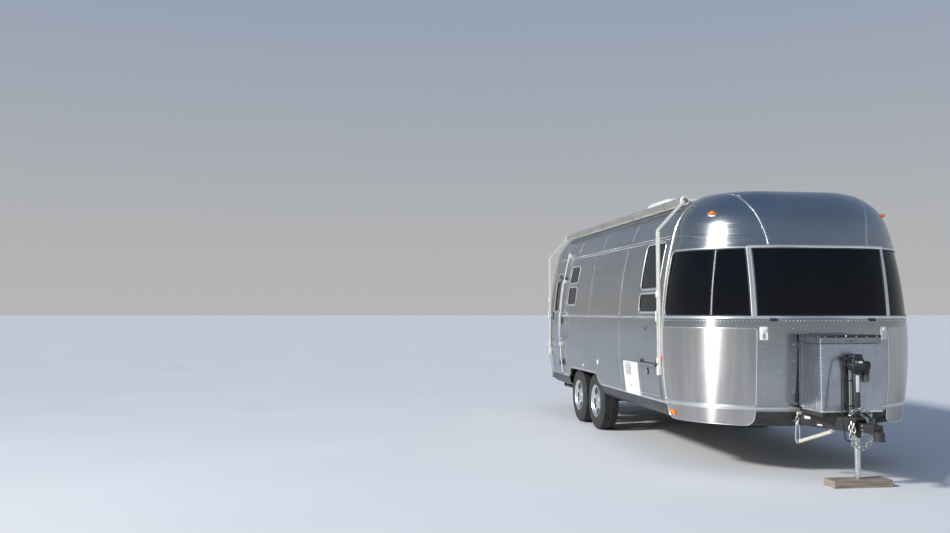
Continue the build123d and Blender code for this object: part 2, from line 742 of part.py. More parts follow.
def wheel_solid():
    """Rim, five spokes, hub and drum; +Y is outboard, the tyre's middle plane is Y 0."""
    lip = bead_half + 15
    face_edge = rim_radius - 6
    rim = make_face(Polyline(
        (rim_radius - 12, -lip), (rim_radius + 9, -lip), (rim_radius + 9, 7 - lip), (rim_radius - 0.2, 7 - lip),
        (rim_radius - 0.2, lip - 7), (rim_radius + 9, lip - 7), (rim_radius + 9, lip), (rim_radius - 12, lip),
        close=True,
    ))
    barrel = revolve(rim, Axis.Y, 360)
    dish = make_face(Polyline(
        (0, 50), (75, 50), (spoke_inner, 40), (spoke_outer - 8, 46), (face_edge, 66), (face_edge, 92),
        (spoke_outer - 8, 72), (spoke_inner + 32, 66), (75, 82), (64, 76), (0, 76), close=True,
    ))
    face = revolve(dish, Axis.Y, 360)
    window = spoke_window()
    for turn in range(spoke_count):
        face -= Rot(0, 360 / spoke_count * (turn + 0.5), 0) * window
    hub = Pos(0, -4, 0) * Rot(90, 0, 0) * Cylinder(66, 128)
    cap = Pos(0, 72, 0) * Rot(90, 0, 0) * Cylinder(38, 20)
    drum = Pos(0, -83, 0) * Rot(90, 0, 0) * Cylinder(146, 90)
    bore = Pos(0, 0, 0) * Rot(90, 0, 0) * Cylinder(spindle_radius + running_fit, 400)
    closed_end = Pos(0, spindle_end - tyre_middle + 20, 0) * Rot(90, 0, 0) * Cylinder(60, 38)
    return (barrel + face + hub + drum + cap) - (bore & block(whole_span, (-far, spindle_end - tyre_middle + 1), whole_span)) + (closed_end & (hub + cap + face))


tyre = tyre_solid()
wheel = wheel_solid()
for place, x in zip(("front", "rear"), hub_x):
    left = Pos(x, tyre_middle, tyre_radius)
    save(left * tyre, "tyre_" + place + "_left")
    save(left * wheel, "wheel_" + place + "_left")
    save(mirror(left * tyre, about=Plane.XZ), "tyre_" + place + "_right")
    save(mirror(left * wheel, about=Plane.XZ), "wheel_" + place + "_right")

# Utility panels on the side walls: X from, X to, Z from, Z to.
panel_proud = 9
panel_layer = mid_body(-panel_proud, wall_bottom) - mid_body(-fit, wall_bottom - 50, margin=50)
panel_foot = foot_rail_z[1] + 11
right_panels = [(785, 1290, wall_bottom + 5, 985)]
left_panels = [
    (-1900, -1480, 900, 1300), (hatch_x[0], hatch_x[1], panel_foot, hatch_z[1]), (640, 1020, panel_foot, 1020),
]


def panels(table, wall_span):
    return [
        panel_layer & side_prism((x0, x1), (z0, z1), 14, wall_span) for x0, x1, z0, z1 in table
    ]


save(
    Compound(panels(right_panels, right_wall_span) + panels(left_panels, left_wall_span)), "utility_panels"
)

# Awning along the right shoulder: rolled cover and two arms to the lower wall.
awning_x = (rear_joint + 62, front_joint - 60)
roll_radius = 44
roll_clear = 38              # from the shell to the roll
roll_turn = radians(50.9)    # place of the roll round the shoulder arc
arm_width = 44
arm_depth = 24
arm_out = half_width + 30
arm_foot_z = 900
arm_foot_height = 90
arm_bend_z = roof_seam + 70
shoulder_y, shoulder_z = tangent_centre()
roll_y = -(shoulder_y + (shoulder_radius + roll_clear + roll_radius) * cos(roll_turn))
roll_z = shoulder_z + (shoulder_radius + roll_clear + roll_radius) * sin(roll_turn)
awning_roll = along_x(sum(awning_x) / 2, roll_y, roll_z, roll_radius, (awning_x[1] - awning_x[0]) / 2)


def awning_arm(x):
    """One arm from its foot on the wall, up past the shoulder to the roll."""
    strip = make_face(Polyline(
        (-arm_out, arm_foot_z), (-arm_out, arm_bend_z), (roll_y - 30, roll_z + 18), (roll_y + 10, roll_z + 10),
        (-arm_out + arm_depth, arm_bend_z - 8), (-arm_out + arm_depth, arm_foot_z), close=True,
    ))
    foot = block(
        (x, x + arm_width), (-arm_out + arm_depth - 1, -wall_y(arm_foot_z + arm_foot_height) - fit),
        (arm_foot_z, arm_foot_z + arm_foot_height),
    )
    return extrude(Plane.YZ.offset(x) * strip, amount=arm_width) + foot


front_arm_x = awning_x[1] + fit
rear_arm_x = awning_x[0] - fit - arm_width
save(awning_roll, "awning_roll")
save(Compound([awning_arm(front_arm_x), awning_arm(rear_arm_x)]), "awning_arms")

# Roof: air conditioner and two vent covers on the crown.
ac_x = (-1150, -290)
ac_half = 350
ac_top = roof_top + 233
ac_corner = 150
ac_edge = 90
louvre_count = 5
louvre_length = 520
louvre_height = 9
louvre_pitch = 20
louvre_depth = 14
vent_middles = [1250, -1900]
vent_half = 230
vent_corner = 60
vent_edge = 40
vent_top = roof_top + 96
crown_cut = mid_body(-fit, wall_bottom)


def roof_box(x, half_y, top, corner, edge):
    shape = block(x, (-half_y, half_y), (roof_top - 60, top))
    shape = fillet(shape.edges().filter_by(Axis.Z), corner)
    shape = fillet(shape.faces().sort_by(Axis.Z)[-1].edges(), edge)
    return shape - crown_cut


air_unit = roof_box(ac_x, ac_half, ac_top, ac_corner, ac_edge)
for row in range(louvre_count):
    z = roof_top + 40 + row * louvre_pitch
    middle = sum(ac_x) / 2
    louvre = block(
        (middle - louvre_length / 2, middle + louvre_length / 2), (ac_half - louvre_depth, far), (z, z + louvre_height)
    )
    air_unit -= both_sides(louvre)
save(air_unit, "roof_air_conditioner")
save(
    Compound([roof_box((x - vent_half, x + vent_half), vent_half, vent_top, vent_corner, vent_edge) for x in vent_middles]),
    "roof_vents",
)

# Rear bumper on the frame's tail.
bumper_half = half_width - 275
bumper_z = (pan_bottom - 2, pan_bottom + 88)
bumper_corner = 20
bumper = block(bumper_x, (-bumper_half, bumper_half), bumper_z)
bumper = fillet(bumper.edges().filter_by(Axis.Z), bumper_corner)
save(bumper, "rear_bumper")

# Tail lamps: one upright cluster on each side of the rear lower panel.
lamp_z = (700, 980)
lamp_y = (half_width - 325, half_width - 225)
lamp_corner = 40
lamp_proud = 22
lamp_layer = to_rear(front_body(-lamp_proud, wall_bottom) - front_body(-fit, wall_bottom - 50))
tail_lamp = lamp_layer & end_prism(lamp_y, lamp_z, lamp_corner, (tail - outside, rear_joint - outside))
save(Compound([tail_lamp, mirror(tail_lamp, about=Plane.XZ)]), "tail_lamps")

# Entry step: a tread on two side arms that swings out from under the door.
step_x = (door_x[0] + 30, door_x[1] - 30)
step_pin = (210 - half_width, pan_bottom - 42)      # Y and Z of the pivot under the pan's edge
step_depth = 290
step_tread = 34
step_bracket = 12
step_pin_radius = 8
step_ear = 22


def step_parts():
    middle = (step_x[0] + step_x[1]) / 2
    half = (step_x[1] - step_x[0]) / 2
    bore = along_x(middle, step_pin[0], step_pin[1], step_pin_radius + running_fit, far)
    hinge = along_x(middle, step_pin[0], step_pin[1], step_pin_radius, half + step_bracket)
    moving = block(step_x, (step_pin[0], step_pin[0] + step_depth), (step_pin[1] - step_tread / 2, step_pin[1] + step_tread / 2))
    moving += along_x(middle, step_pin[0], step_pin[1], step_tread / 2, half)
    for side in (-1, 1):
        x0 = middle + side * (half + step_bracket / 2 + 1)
        hinge += block(
            (x0 - step_bracket / 2, x0 + step_bracket / 2),
            (step_pin[0] - step_ear, step_pin[0] + step_ear), (step_pin[1] - step_ear, pan_bottom),
        )
    return hinge, moving - bore


step_hinge, entry_step = step_parts()
save(entry_step, "entry_step")

# Corner steadies: each leg lies flat under the pan and swings down about a cross pin.
steady_x = (front_joint + 40, rear_joint - 240)
steady_places = {
    "front_right": (steady_x[0], -1), "front_left": (steady_x[0], 1),
    "rear_right": (steady_x[1], -1), "rear_left": (steady_x[1], 1),
}
steady_y = half_width - 550
steady_pin_z = pan_bottom - 39
steady_length = 430
steady_width = 50
steady_pin_radius = 8
steady_thick = 34
steady_ear = 8
steady_plate = (10, 90, 50)
steady_plate_drop = 8
steady_bracket_half = 24
steady_bracket_drop = 22


def steady(x, side, toward):
    """Bracket and leg; the leg lies along X from its pin towards the middle of the caravan."""
    y = side * steady_y
    bracket = along_y(x, steady_pin_z, steady_pin_radius, steady_width / 2 + steady_ear + 1, y)
    for ear in (-1, 1):
        y0 = y + ear * (steady_width / 2 + 1 + steady_ear / 2)
        bracket += block(
            (x - steady_bracket_half, x + steady_bracket_half), (y0 - steady_ear / 2, y0 + steady_ear / 2),
            (steady_pin_z - steady_bracket_drop, pan_bottom),
        )
    leg = block(
        sorted((x, x + toward * steady_length)), (y - steady_width / 2, y + steady_width / 2),
        (steady_pin_z - steady_thick / 2, steady_pin_z + steady_thick / 2),
    )
    leg += along_y(x, steady_pin_z, steady_thick / 2, steady_width / 2, y)
    foot_x = x + toward * (steady_length + steady_plate[0] / 2)
    leg += Pos(foot_x, y, steady_pin_z - steady_plate_drop) * Box(*steady_plate)
    leg -= along_y(x, steady_pin_z, steady_pin_radius + running_fit, far)
    return bracket, leg


steady_brackets = []
for place, (x, side) in steady_places.items():
    toward = -1 if x > 0 else 1
    bracket, leg = steady(x, side, toward)
    steady_brackets.append(bracket)
    save(leg, "steady_" + place)
save(Compound(steady_brackets + [step_hinge]), "underside_brackets")

# Front trim: window mullions, sill rail, eyebrow and stainless corner guards.
mullion_half = 24
mullion_y = (centre_window_half + wrap_window_front) / 2
sill_height = 26
brow_height = 30
brow_lap = 50                # eyebrow past each side of the middle window
trim_proud = 7
trim_layer = front_body(-trim_proud, wall_bottom) - front_body(-fit, wall_bottom - 50)
ahead = (nose - cap_reach * 0.7, nose + outside)
round_front = (front_joint + 20, nose + outside)
mullion = trim_layer & block(ahead, (mullion_y - mullion_half, mullion_y + mullion_half), (band_bottom, band_top))
sill = trim_layer & block(round_front, whole_span, (band_bottom - sill_height, band_bottom))
brow = trim_layer & block(
    (band_reach, nose + outside), (-centre_window_half - brow_lap, centre_window_half + brow_lap),
    (band_top, band_top + brow_height),
)
front_trim = Compound([mullion + mirror(mullion, about=Plane.XZ) + sill + brow])
save(Compound([front_trim, to_rear(front_trim)]), "end_window_trim")

ridge_z = (wall_bottom + 18, wall_bottom + 50)
guard_top = belt - 90
guard_bottom = ridge_z[1] + fit
guard_inner = 668
guard_corner = 30
guard_proud = 4
guard_rear = front_joint + 40
guard_layer = front_body(-guard_proud, wall_bottom) - front_body(-fit, wall_bottom - 50)
guard = guard_layer & side_prism(
    (guard_rear, nose + cap_reach), (guard_bottom, guard_top), guard_corner, (guard_inner, half_width + outside)
)

# Below the ridge a skirt carries each guard on down, over the wall's foot and the pan's round edge.
skirt_bottom = pan_bottom + 15
skirt_corner = 100
skirt_out = (2.4, 6.5)       # the pan's edge bulges up to 2 mm past the wall's line
skirt = front_body(-skirt_out[1], skirt_bottom - 50) - front_body(-skirt_out[0], skirt_bottom - 100)
skirt = skirt & side_prism(
    (guard_rear, nose + cap_reach), (skirt_bottom - 10, belt), skirt_corner, (guard_inner - 50, half_width + outside)
)
skirt = skirt & end_prism(
    (guard_inner, half_width + outside), (skirt_bottom, belt), skirt_corner, (guard_rear, nose + cap_reach)
)
skirt = skirt & block(whole_span, whole_span, (0, ridge_z[0] - fit))
save(Compound([guard, mirror(guard, about=Plane.XZ), skirt, mirror(skirt, about=Plane.XZ)]), "rock_guards")

# Mouldings: rails along the foot of both walls, ridges round the ends, arch rims and joint strips.
rail_proud = 12
strip_width = 19.4
strip_proud = 7
arch_rim = 22
rim_proud = 8
rail_stop = 10
rail_layer = mid_body(-rail_proud, wall_bottom) - mid_body(-fit, wall_bottom - 50, margin=50)


def foot_rails(stops, wall_span):
    """Lengths of rail between the stops, which are (X from, X to) pairs from rear to front."""
    marks = [rear_joint + fit] + [x for stop in stops for x in stop] + [front_joint - fit]
    return [
        rail_layer & block((low, high), wall_span, foot_rail_z) for low, high in zip(marks[::2], marks[1::2])
    ]


arch_reach = arch_bottom_length / 2 + arch_rim + rail_stop
arch_stop = (axle_middle - arch_reach, axle_middle + arch_reach)
door_stop = (door_x[0] - flange_lap - rail_stop, door_pin_x + 2 * rail_stop)
panel_stop = (right_panels[0][0] - rail_stop, right_panels[0][1] + rail_stop)
rails = foot_rails([door_stop, arch_stop, panel_stop], right_wall_span) + foot_rails([arch_stop], left_wall_span)
rim_layer = mid_body(-rim_proud, wall_bottom) - mid_body(-fit, wall_bottom - 50, margin=50)
arch_trim = (rim_layer & arch_prism(arch_rim, right_wall_span, 0)) - arch_prism(0, right_wall_span, 0)
ridge = front_body(-rail_proud, wall_bottom) - front_body(-fit, wall_bottom - 50)
ridge = ridge & block((front_joint + 20, nose + outside), whole_span, ridge_z)
strip = front_body(-strip_proud, wall_bottom) - front_body(-fit, wall_bottom - 50)
strip = strip & block((front_joint + fit, front_joint + fit + strip_width), whole_span, (wall_bottom, far))
save(
    Compound(rails + [arch_trim, mirror(arch_trim, about=Plane.XZ), ridge, to_rear(ridge), strip, to_rear(strip)]),
    "wall_trim",
)

# Safety chains: oval links laid along hanging paths beside the coupler.
link_wire = 8
link_length = 46
link_width = 30
link_play = 0.6
chain_pitch = link_length - 2 * link_wire - link_play
chain_right = [(3620, -96.4, 560), (3624, -112, 470), (3626, -86, 412), (3626, -30, 392), (3626, 30, 392), (3624, 84, 420)]
chain_left = [(3600, -104, 638), (3596, -66, 670), (3594, -8, 688), (3594, 46, 682), (3600, 92, 648), (3604, 116, 588), (3604, 120, 498)]


def link():
    """One link lying in XY, long along X."""
    flat = SlotOverall(link_length, link_width) - SlotOverall(link_length - 2 * link_wire, link_width - 2 * link_wire)
    ring = extrude(flat, amount=link_wire / 2, both=True)
    return chamfer(ring.faces().filter_by(Axis.Z).edges(), 2)


def chain(points):
    """Links at one pitch along a smooth path, each turned a quarter from the last."""
    path = Spline(*[Vector(*point) for point in points])
    count = int(path.length // chain_pitch)
    one = link()
    links = []
    for index in range(count):
        at = (index + 0.5) / count
        place = Plane(origin=path @ at, x_dir=path % at, z_dir=(path % at).cross(Vector(1, 0, 0)))
        links.append(place * Rot(90 * (index % 2), 0, 0) * one)
    return links


# Spring bars under the tongue beams: front end in a lug, rear end hung on a lift chain.
lift_x = nose - 20
lift_links = 9
lift_bottom = 335
lift_hook = 7                # pegs sit this far from the end links' middles
lift_peg = 6.7
bar_front_x = tongue_tip_x - 250
bar_front_z = 463
bar_thick = 28
bar_drop = 8                 # rear end's middle below its peg
bar_aside = 6                # its slanting side clear of the end link
lug_half = (20, 15)
bracket_half = 20
bracket_sheet = 6


def beam_face_y(x):
    """Outer face of the left tongue beam."""
    root_y = rail_y[0] - tongue_beam[0] / 2 - fit
    slope = (root_y - tongue_tip_y) / (tongue_tip_x - tongue_root_x)
    return tongue_tip_y + slope * (tongue_tip_x - x) + tongue_beam[0] / 2 * hypot(1, slope)


def spring_gear():
    """Left spring bar with its lug and peg, the bracket on the beam, and the lift chain's links."""
    lift_y = beam_face_y(lift_x) + link_width / 2 + 7
    top = lift_bottom + lift_links * chain_pitch + 1
    links = chain([(lift_x, lift_y, lift_bottom), (lift_x, lift_y, top)])
    low_peg = lift_bottom + chain_pitch / 2 - lift_hook
    high_peg = top - chain_pitch / 2 + lift_hook
    inner = lift_y - link_wire / 2 - 1
    rear_end = Vector(lift_x, inner - bar_thick / 2 - bar_aside, low_peg - bar_drop)
    front_end = Vector(bar_front_x, beam_face_y(bar_front_x), bar_front_z)
    run = front_end - rear_end
    bar = Plane(origin=(front_end + rear_end) / 2, x_dir=run, z_dir=Vector(0, 1, 0).cross(run)) * Box(
        run.length + bar_thick, bar_thick, bar_thick
    )
    bar += along_y(lift_x, low_peg, lift_peg, 2 * link_wire, lift_y)
    lug = block(
        (bar_front_x - lug_half[0], bar_front_x + lug_half[0]),
        (front_end.Y - 2 * lug_half[1], front_end.Y), (bar_front_z, tongue_bottom - fit),
    )
    plate = block(
        (lift_x - bracket_half, lift_x + bracket_half), (beam_face_y(lift_x) - bar_thick, inner),
        (high_peg - lift_peg, tongue_top + bracket_sheet),
    )
    plate += along_y(lift_x, high_peg, lift_peg, link_wire, lift_y)
    plate -= tongue_side(fit)
    return [bar + lug, plate], links


bars, lift_chain = spring_gear()
bars_right = [mirror(piece, about=Plane.XZ) for piece in bars]
lift_chain_right = [mirror(piece, about=Plane.XZ) for piece in lift_chain]
save(Compound(bars + bars_right), "spring_bars")
save(Compound(chain(chain_right) + chain(chain_left) + lift_chain + lift_chain_right), "safety_chains")

# Trailer cord: plug parked on the jack head, a long hanging bight, a gland under the tongue.
cord_radius = 6
plug_radius = 19
plug_length = 30
plug_x = 3545
plug_z = 1128
gland_x = 3594
gland_y = -65
gland_radius = 14
gland_length = 17
plug_face = -head_width / 2
cord_points = [
    (plug_x, plug_face - plug_length, plug_z),
    (plug_x, -115, plug_z),
    (3549, -136, 1114),
    (3555, -146, 1086),
    (3563, -152, 1040),
    (3574, -161, 970),
    (3586, -169, 880),
    (3598, -177, 780),
    (3607, -182, 690),
    (3612, -180, 610),
    (3612, -172, 540),
    (3608, -160, 480),
    (3604, -152, 438),
    (3600, -136, 415),
    (3597, -110, 406),
    (3595, -83, 415),
    (gland_x, gland_y, 440),
    (gland_x, gland_y, tongue_bottom - gland_length),
]


def corner_radii(points):
    radii = []
    for before, here, after in zip(points, points[1:], points[2:]):
        run_in = Vector(*here) - Vector(*before)
        run_out = Vector(*after) - Vector(*here)
        turn = radians(run_in.get_angle(run_out))
        radii.append(0.45 * min(run_in.length, run_out.length) / tan(turn / 2))
    return radii


radii = corner_radii(cord_points)
print("cord radii", [round(radius) for radius in radii])
cord_path = FilletPolyline(*cord_points, radius=radii)
cord = sweep(Plane(origin=cord_points[0], z_dir=cord_path % 0) * Circle(cord_radius), path=cord_path)
print("cord length", round(cord_path.length), "volume share", cord.volume / (pi * cord_radius ** 2 * cord_path.length))
save(cord, "trailer_cord")
plug = along_y(plug_x, plug_z, plug_radius, plug_length / 2, plug_face - plug_length / 2)
gland = Pos(gland_x, gland_y, tongue_bottom - gland_length / 2) * Cylinder(gland_radius, gland_length)
save(plug, "cord_plug")
save(gland, "cord_gland")
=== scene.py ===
import json
from math import acos, asin, atan2, ceil, cos, hypot, pi, radians, sin, sqrt, tau

import bmesh
import bpy
from mathutils import Matrix, Vector
from mathutils.geometry import delaunay_2d_cdt


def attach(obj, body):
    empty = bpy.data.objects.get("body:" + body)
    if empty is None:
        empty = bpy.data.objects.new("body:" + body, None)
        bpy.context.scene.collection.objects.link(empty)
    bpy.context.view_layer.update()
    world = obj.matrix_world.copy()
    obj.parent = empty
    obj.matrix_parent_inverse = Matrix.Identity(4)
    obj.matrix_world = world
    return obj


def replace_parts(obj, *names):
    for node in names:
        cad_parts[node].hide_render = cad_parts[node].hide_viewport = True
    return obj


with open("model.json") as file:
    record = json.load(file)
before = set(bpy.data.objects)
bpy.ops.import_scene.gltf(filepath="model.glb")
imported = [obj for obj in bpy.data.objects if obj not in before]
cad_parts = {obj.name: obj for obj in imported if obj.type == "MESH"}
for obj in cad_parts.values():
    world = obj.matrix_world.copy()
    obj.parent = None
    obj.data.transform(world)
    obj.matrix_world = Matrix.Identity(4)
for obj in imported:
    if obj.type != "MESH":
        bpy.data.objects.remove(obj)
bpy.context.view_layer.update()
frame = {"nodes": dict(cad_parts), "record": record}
nodes = frame["nodes"]
body = "caravan"
scene = bpy.context.scene


def placed(name, data):
    made = bpy.data.objects.new(name, data)
    scene.collection.objects.link(made)
    return made


# Camera
camera = placed("camera", bpy.data.cameras.new("camera"))
scene.camera = camera
camera.data.sensor_width = 36.0
camera.data.lens = 34.67
camera.location = (11.191, -4.586, 1.551)
camera.rotation_euler = (radians(92.84), 0.0, radians(81.57))


# Materials
def triple(value):
    """A single number stands for three equal ones."""
    return value if isinstance(value, tuple) else (value,) * 3


def shader_tree(name):
    material = bpy.data.materials.new(name)
    material.use_nodes = True
    return material, material.node_tree, material.node_tree.nodes["Principled BSDF"]


def add_node(tree, kind, links=(), **values):
    """Shader node with its inputs set by name, underscores for spaces, and fed by the linked sockets."""
    node = tree.nodes.new("ShaderNode" + kind)
    for name, value in values.items():
        node.inputs[name.replace("_", " ")].default_value = value
    for name, socket in links:
        tree.links.new(socket, node.inputs[name])
    return node


def noise(tree, stretch, detail=4.0, roughness=0.55):
    """Noise in the object's own metres, stretched per axis; returns its factor socket."""
    place = add_node(tree, "TexCoord")
    mapping = add_node(tree, "Mapping", [("Vector", place.outputs["Object"])], Scale=triple(stretch))
    texture = add_node(
        tree, "TexNoise", [("Vector", mapping.outputs["Vector"])], Scale=1.0, Detail=detail,
        Roughness=roughness)
    return texture.outputs["Fac"]


def ramp(node, stops):
    """Fills a colour ramp with (position, colour) stops."""
    elements = node.color_ramp.elements
    while len(elements) < len(stops):
        elements.new(0.5)
    for element, (position, colour) in zip(elements, stops):
        element.position = position
        element.color = (*triple(colour), 1.0)
    return node.outputs["Color"]


def tones(tree, factor, low, high, start=0.3, end=0.7):
    return ramp(add_node(tree, "ValToRGB", [("Fac", factor)]), ((start, low), (end, high)))


def spread(tree, factor, low, high):
    node = add_node(tree, "MapRange", [("Value", factor)], From_Min=0.3, From_Max=0.7, To_Min=low,
                    To_Max=high)
    return node.outputs["Result"]


def bump(tree, factor, distance, under=()):
    return add_node(tree, "Bump", [("Height", factor), *under], Distance=distance).outputs["Normal"]


def dress(tree, shader, *sources):
    """Feeds the shader's colour, roughness and relief."""
    for socket, source in zip(("Base Color", "Roughness", "Normal"), sources):
        tree.links.new(source, shader.inputs[socket])


def finish(name, low, high, rough, tone, grain, depth, metallic=0.0, wave=None, coat=0.0, sheen=0.0,
           detail=3.0):
    """Finish in two tones, with grain in its roughness and relief, and a slow wave in the sheet."""
    material, tree, shader = shader_tree(name)
    values = (("Metallic", metallic), ("Coat Weight", coat), ("Coat Roughness", 0.12),
              ("Sheen Weight", sheen))
    for socket, value in values:
        shader.inputs[socket].default_value = value
    fine = noise(tree, grain, detail, 0.5)
    normal = bump(tree, fine, depth)
    if wave:
        normal = bump(tree, noise(tree, wave[0], 2.0, 0.4), wave[1], [("Normal", normal)])
    dress(tree, shader, tones(tree, noise(tree, tone), low, high), spread(tree, fine, *rough), normal)
    return material


def brushed(material, amount):
    """Stretches a metal's highlights upright, as level brushing does."""
    tree = material.node_tree
    shader = tree.nodes["Principled BSDF"]
    tangent = add_node(tree, "Tangent")
    tangent.direction_type = "RADIAL"
    tangent.axis = "Z"
    tree.links.new(tangent.outputs["Tangent"], shader.inputs["Tangent"])
    shader.inputs["Anisotropic"].default_value = amount
    shader.inputs["Anisotropic Rotation"].default_value = 0.25
    return material


def wood_finish():
    """Weathered plank: long grey grain with darker cracks."""
    material, tree, shader = shader_tree("weathered_plank")
    grain = noise(tree, (70, 4, 70), 8.0, 0.7)
    dress(tree, shader, tones(tree, grain, (0.17, 0.13, 0.095), (0.42, 0.36, 0.28), 0.35, 0.65),
          spread(tree, grain, 0.85, 0.7), bump(tree, grain, 0.002))
    return material


def glass_finish(name, colour, through, rough=0.03, ior=1.5):
    material, tree, shader = shader_tree(name)
    shader.inputs["Transmission Weight"].default_value = through
    shader.inputs["IOR"].default_value = ior
    streak = noise(tree, (4, 4, 1.2), 4.0)
    dress(tree, shader, tones(tree, streak, colour, tuple(c * 1.5 for c in colour)),
          spread(tree, streak, rough, rough * 2.5), bump(tree, noise(tree, (1.6, 1.6, 1.2), 1.0), 0.0015))
    return material


# Each finish: its two tones, roughness range, scale of its tones, scale of its grain, relief in metres
aluminium = finish("polished_sheet", (0.33, 0.34, 0.345), (0.42, 0.425, 0.425), (0.15, 0.26), (1.2, 1.2, 4),
                   (3, 3, 160), 0.00004, metallic=1.0, wave=((1.8, 1.8, 1.4), 0.006), coat=0.2)
cover_sheet = brushed(finish("cover_sheet", (0.40, 0.42, 0.46), (0.50, 0.52, 0.56), (0.22, 0.30), (2, 2, 5),
                             (160, 160, 3), 0.00004, metallic=1.0, wave=((2.5, 2.5, 2), 0.003)), 0.8)
guard_steel = brushed(finish("brushed_guard", (0.47, 0.445, 0.415), (0.58, 0.56, 0.53), (0.30, 0.38),
                             (9, 9, 0.8), (3, 3, 300), 0.00006, metallic=1.0, wave=((3, 3, 2), 0.003),
                             detail=1.0), 0.9)
band_metal = finish("joint_band", (0.62, 0.62, 0.56), (0.74, 0.74, 0.69), (0.30, 0.42), 3, 200, 0.00004, 1.0)
bright_trim = finish("bright_trim", (0.74, 0.74, 0.72), (0.86, 0.86, 0.84), (0.22, 0.36), 3, 300, 0.00002,
                     1.0)
rivet_metal = finish("rivet_heads", (0.78, 0.78, 0.77), (0.9, 0.9, 0.88), (0.25, 0.35), 40, 300, 0.00002, 1.0)
cream_paint = finish("cream_paint", (0.70, 0.68, 0.62), (0.80, 0.78, 0.73), (0.35, 0.5), (3, 3, 8), 70,
                     0.0001, coat=0.2)
white_plastic = finish("white_plastic", (0.74, 0.74, 0.71), (0.82, 0.82, 0.80), (0.4, 0.55), 5, 200, 0.0001)
grey_plastic = finish("grey_plastic", (0.16, 0.165, 0.16), (0.22, 0.225, 0.22), (0.45, 0.6), 8, 250, 0.0001)
black_plastic = finish("black_plastic", (0.012, 0.012, 0.013), (0.028, 0.028, 0.03), (0.35, 0.55), 12, 300,
                       0.0002)
black_steel = finish("black_chassis_paint", 0.018, (0.05, 0.048, 0.045), (0.35, 0.6), 7, 120, 0.0003)
# Belly pan: aluminium sheet coloured near-black, painted shade of the dark underside rather than the sheet's
# own tone
shaded_pan_sheet = finish("shaded_pan_sheet", 0.05, (0.10, 0.10, 0.098), (0.3, 0.45), (2, 2, 4), 40, 0.0002, 0.85,
                   (2, 0.004))
zinc = finish("zinc_plate", (0.50, 0.50, 0.48), (0.70, 0.70, 0.67), (0.3, 0.5), 40, 220, 0.0002, 1.0)
tyre_black = finish("tyre_rubber", 0.022, (0.045, 0.043, 0.041), (0.6, 0.8), 14, 220, 0.0003)
alloy = finish("wheel_alloy", (0.66, 0.665, 0.67), 0.78, (0.25, 0.38), 14, 160, 0.00006, 0.9, coat=0.4)
cable_black = finish("cable_jacket", 0.012, 0.03, (0.4, 0.55), 60, 500, 0.0001)
well_black = finish("wheel_bay_liner", 0.015, 0.03, (0.6, 0.8), 5, 80, 0.0005)
cabin_board = finish("cabin_floor", (0.12, 0.085, 0.05), (0.2, 0.14, 0.09), (0.5, 0.6), (1, 12, 12),
                     (3, 60, 60), 0.0002)
bumper_paint = finish("bumper_paint", (0.15, 0.15, 0.155), 0.22, (0.4, 0.55), 6, 150, 0.0003)
awning_sheet = finish("awning_cover_sheet", (0.19, 0.19, 0.18), (0.26, 0.26, 0.25), (0.4, 0.55), (2, 12, 12),
                      200, 0.0001)
amber_piping = finish("amber_piping", (0.42, 0.35, 0.17), (0.50, 0.42, 0.22), (0.5, 0.6), 20, 300, 0.0001)
hub_brown = finish("roller_hub", (0.16, 0.12, 0.09), (0.22, 0.17, 0.13), (0.45, 0.6), 30, 300, 0.0001)
jack_grey = finish("jack_tube_paint", (0.035, 0.036, 0.038), (0.06, 0.06, 0.062), (0.3, 0.45), 12, 200,
                   0.0001)
leg_silver = finish("jack_leg_steel", (0.62, 0.62, 0.60), (0.76, 0.76, 0.74), (0.2, 0.35), (30, 30, 6),
                    (20, 20, 400), 0.0001, 1.0)
drum_iron = finish("brake_drum", (0.05, 0.048, 0.045), (0.10, 0.095, 0.09), (0.5, 0.65), 20, 200, 0.0002, 0.5)
bar_beige = finish("spring_bar_paint", (0.52, 0.47, 0.37), (0.62, 0.57, 0.47), (0.45, 0.6), 20, 200, 0.0002)
lid_sheet = finish("gas_lid_sheet", (0.26, 0.275, 0.31), (0.33, 0.35, 0.39), (0.25, 0.35), 5, 60, 0.0001, 1.0)
canvas = finish("awning_canvas", (0.50, 0.49, 0.45), (0.60, 0.59, 0.55), (0.75, 0.9), (3, 30, 30), 700,
                0.0002, sheen=0.3)
wood = wood_finish()
dark_glass = glass_finish("tinted_glass", (0.003, 0.0035, 0.005), 0.15, ior=1.3)
red_lens = glass_finish("red_lens", (0.42, 0.012, 0.01), 0.2, 0.1)
amber_lens = glass_finish("amber_lens", (0.85, 0.22, 0.015), 0.2, 0.1)
clear_lens = glass_finish("clear_lens", (0.55, 0.55, 0.52), 0.3, 0.1)

# The finishes of each slot, its own one first
slot_finishes = {
    "aluminium_skin": (aluminium, rivet_metal, cover_sheet, lid_sheet), "dark_glass": (dark_glass,),
    "stainless": (bright_trim, band_metal, guard_steel), "black_steel": (black_steel,),
    "floor_board": (cabin_board,), "block_wood": (wood,), "well_liner": (well_black,),
    "black_plastic": (black_plastic, grey_plastic, hub_brown, jack_grey), "zinc_steel": (zinc, leg_silver),
    "cable_rubber": (cable_black,), "white_paint": (cream_paint, white_plastic),
    "awning_cover": (canvas, awning_sheet, amber_piping), "bumper_paint": (bumper_paint,),
    "red_lens": (red_lens, amber_lens, clear_lens), "tyre_rubber": (tyre_black,),
    "alloy_wheel": (alloy, drum_iron),
}


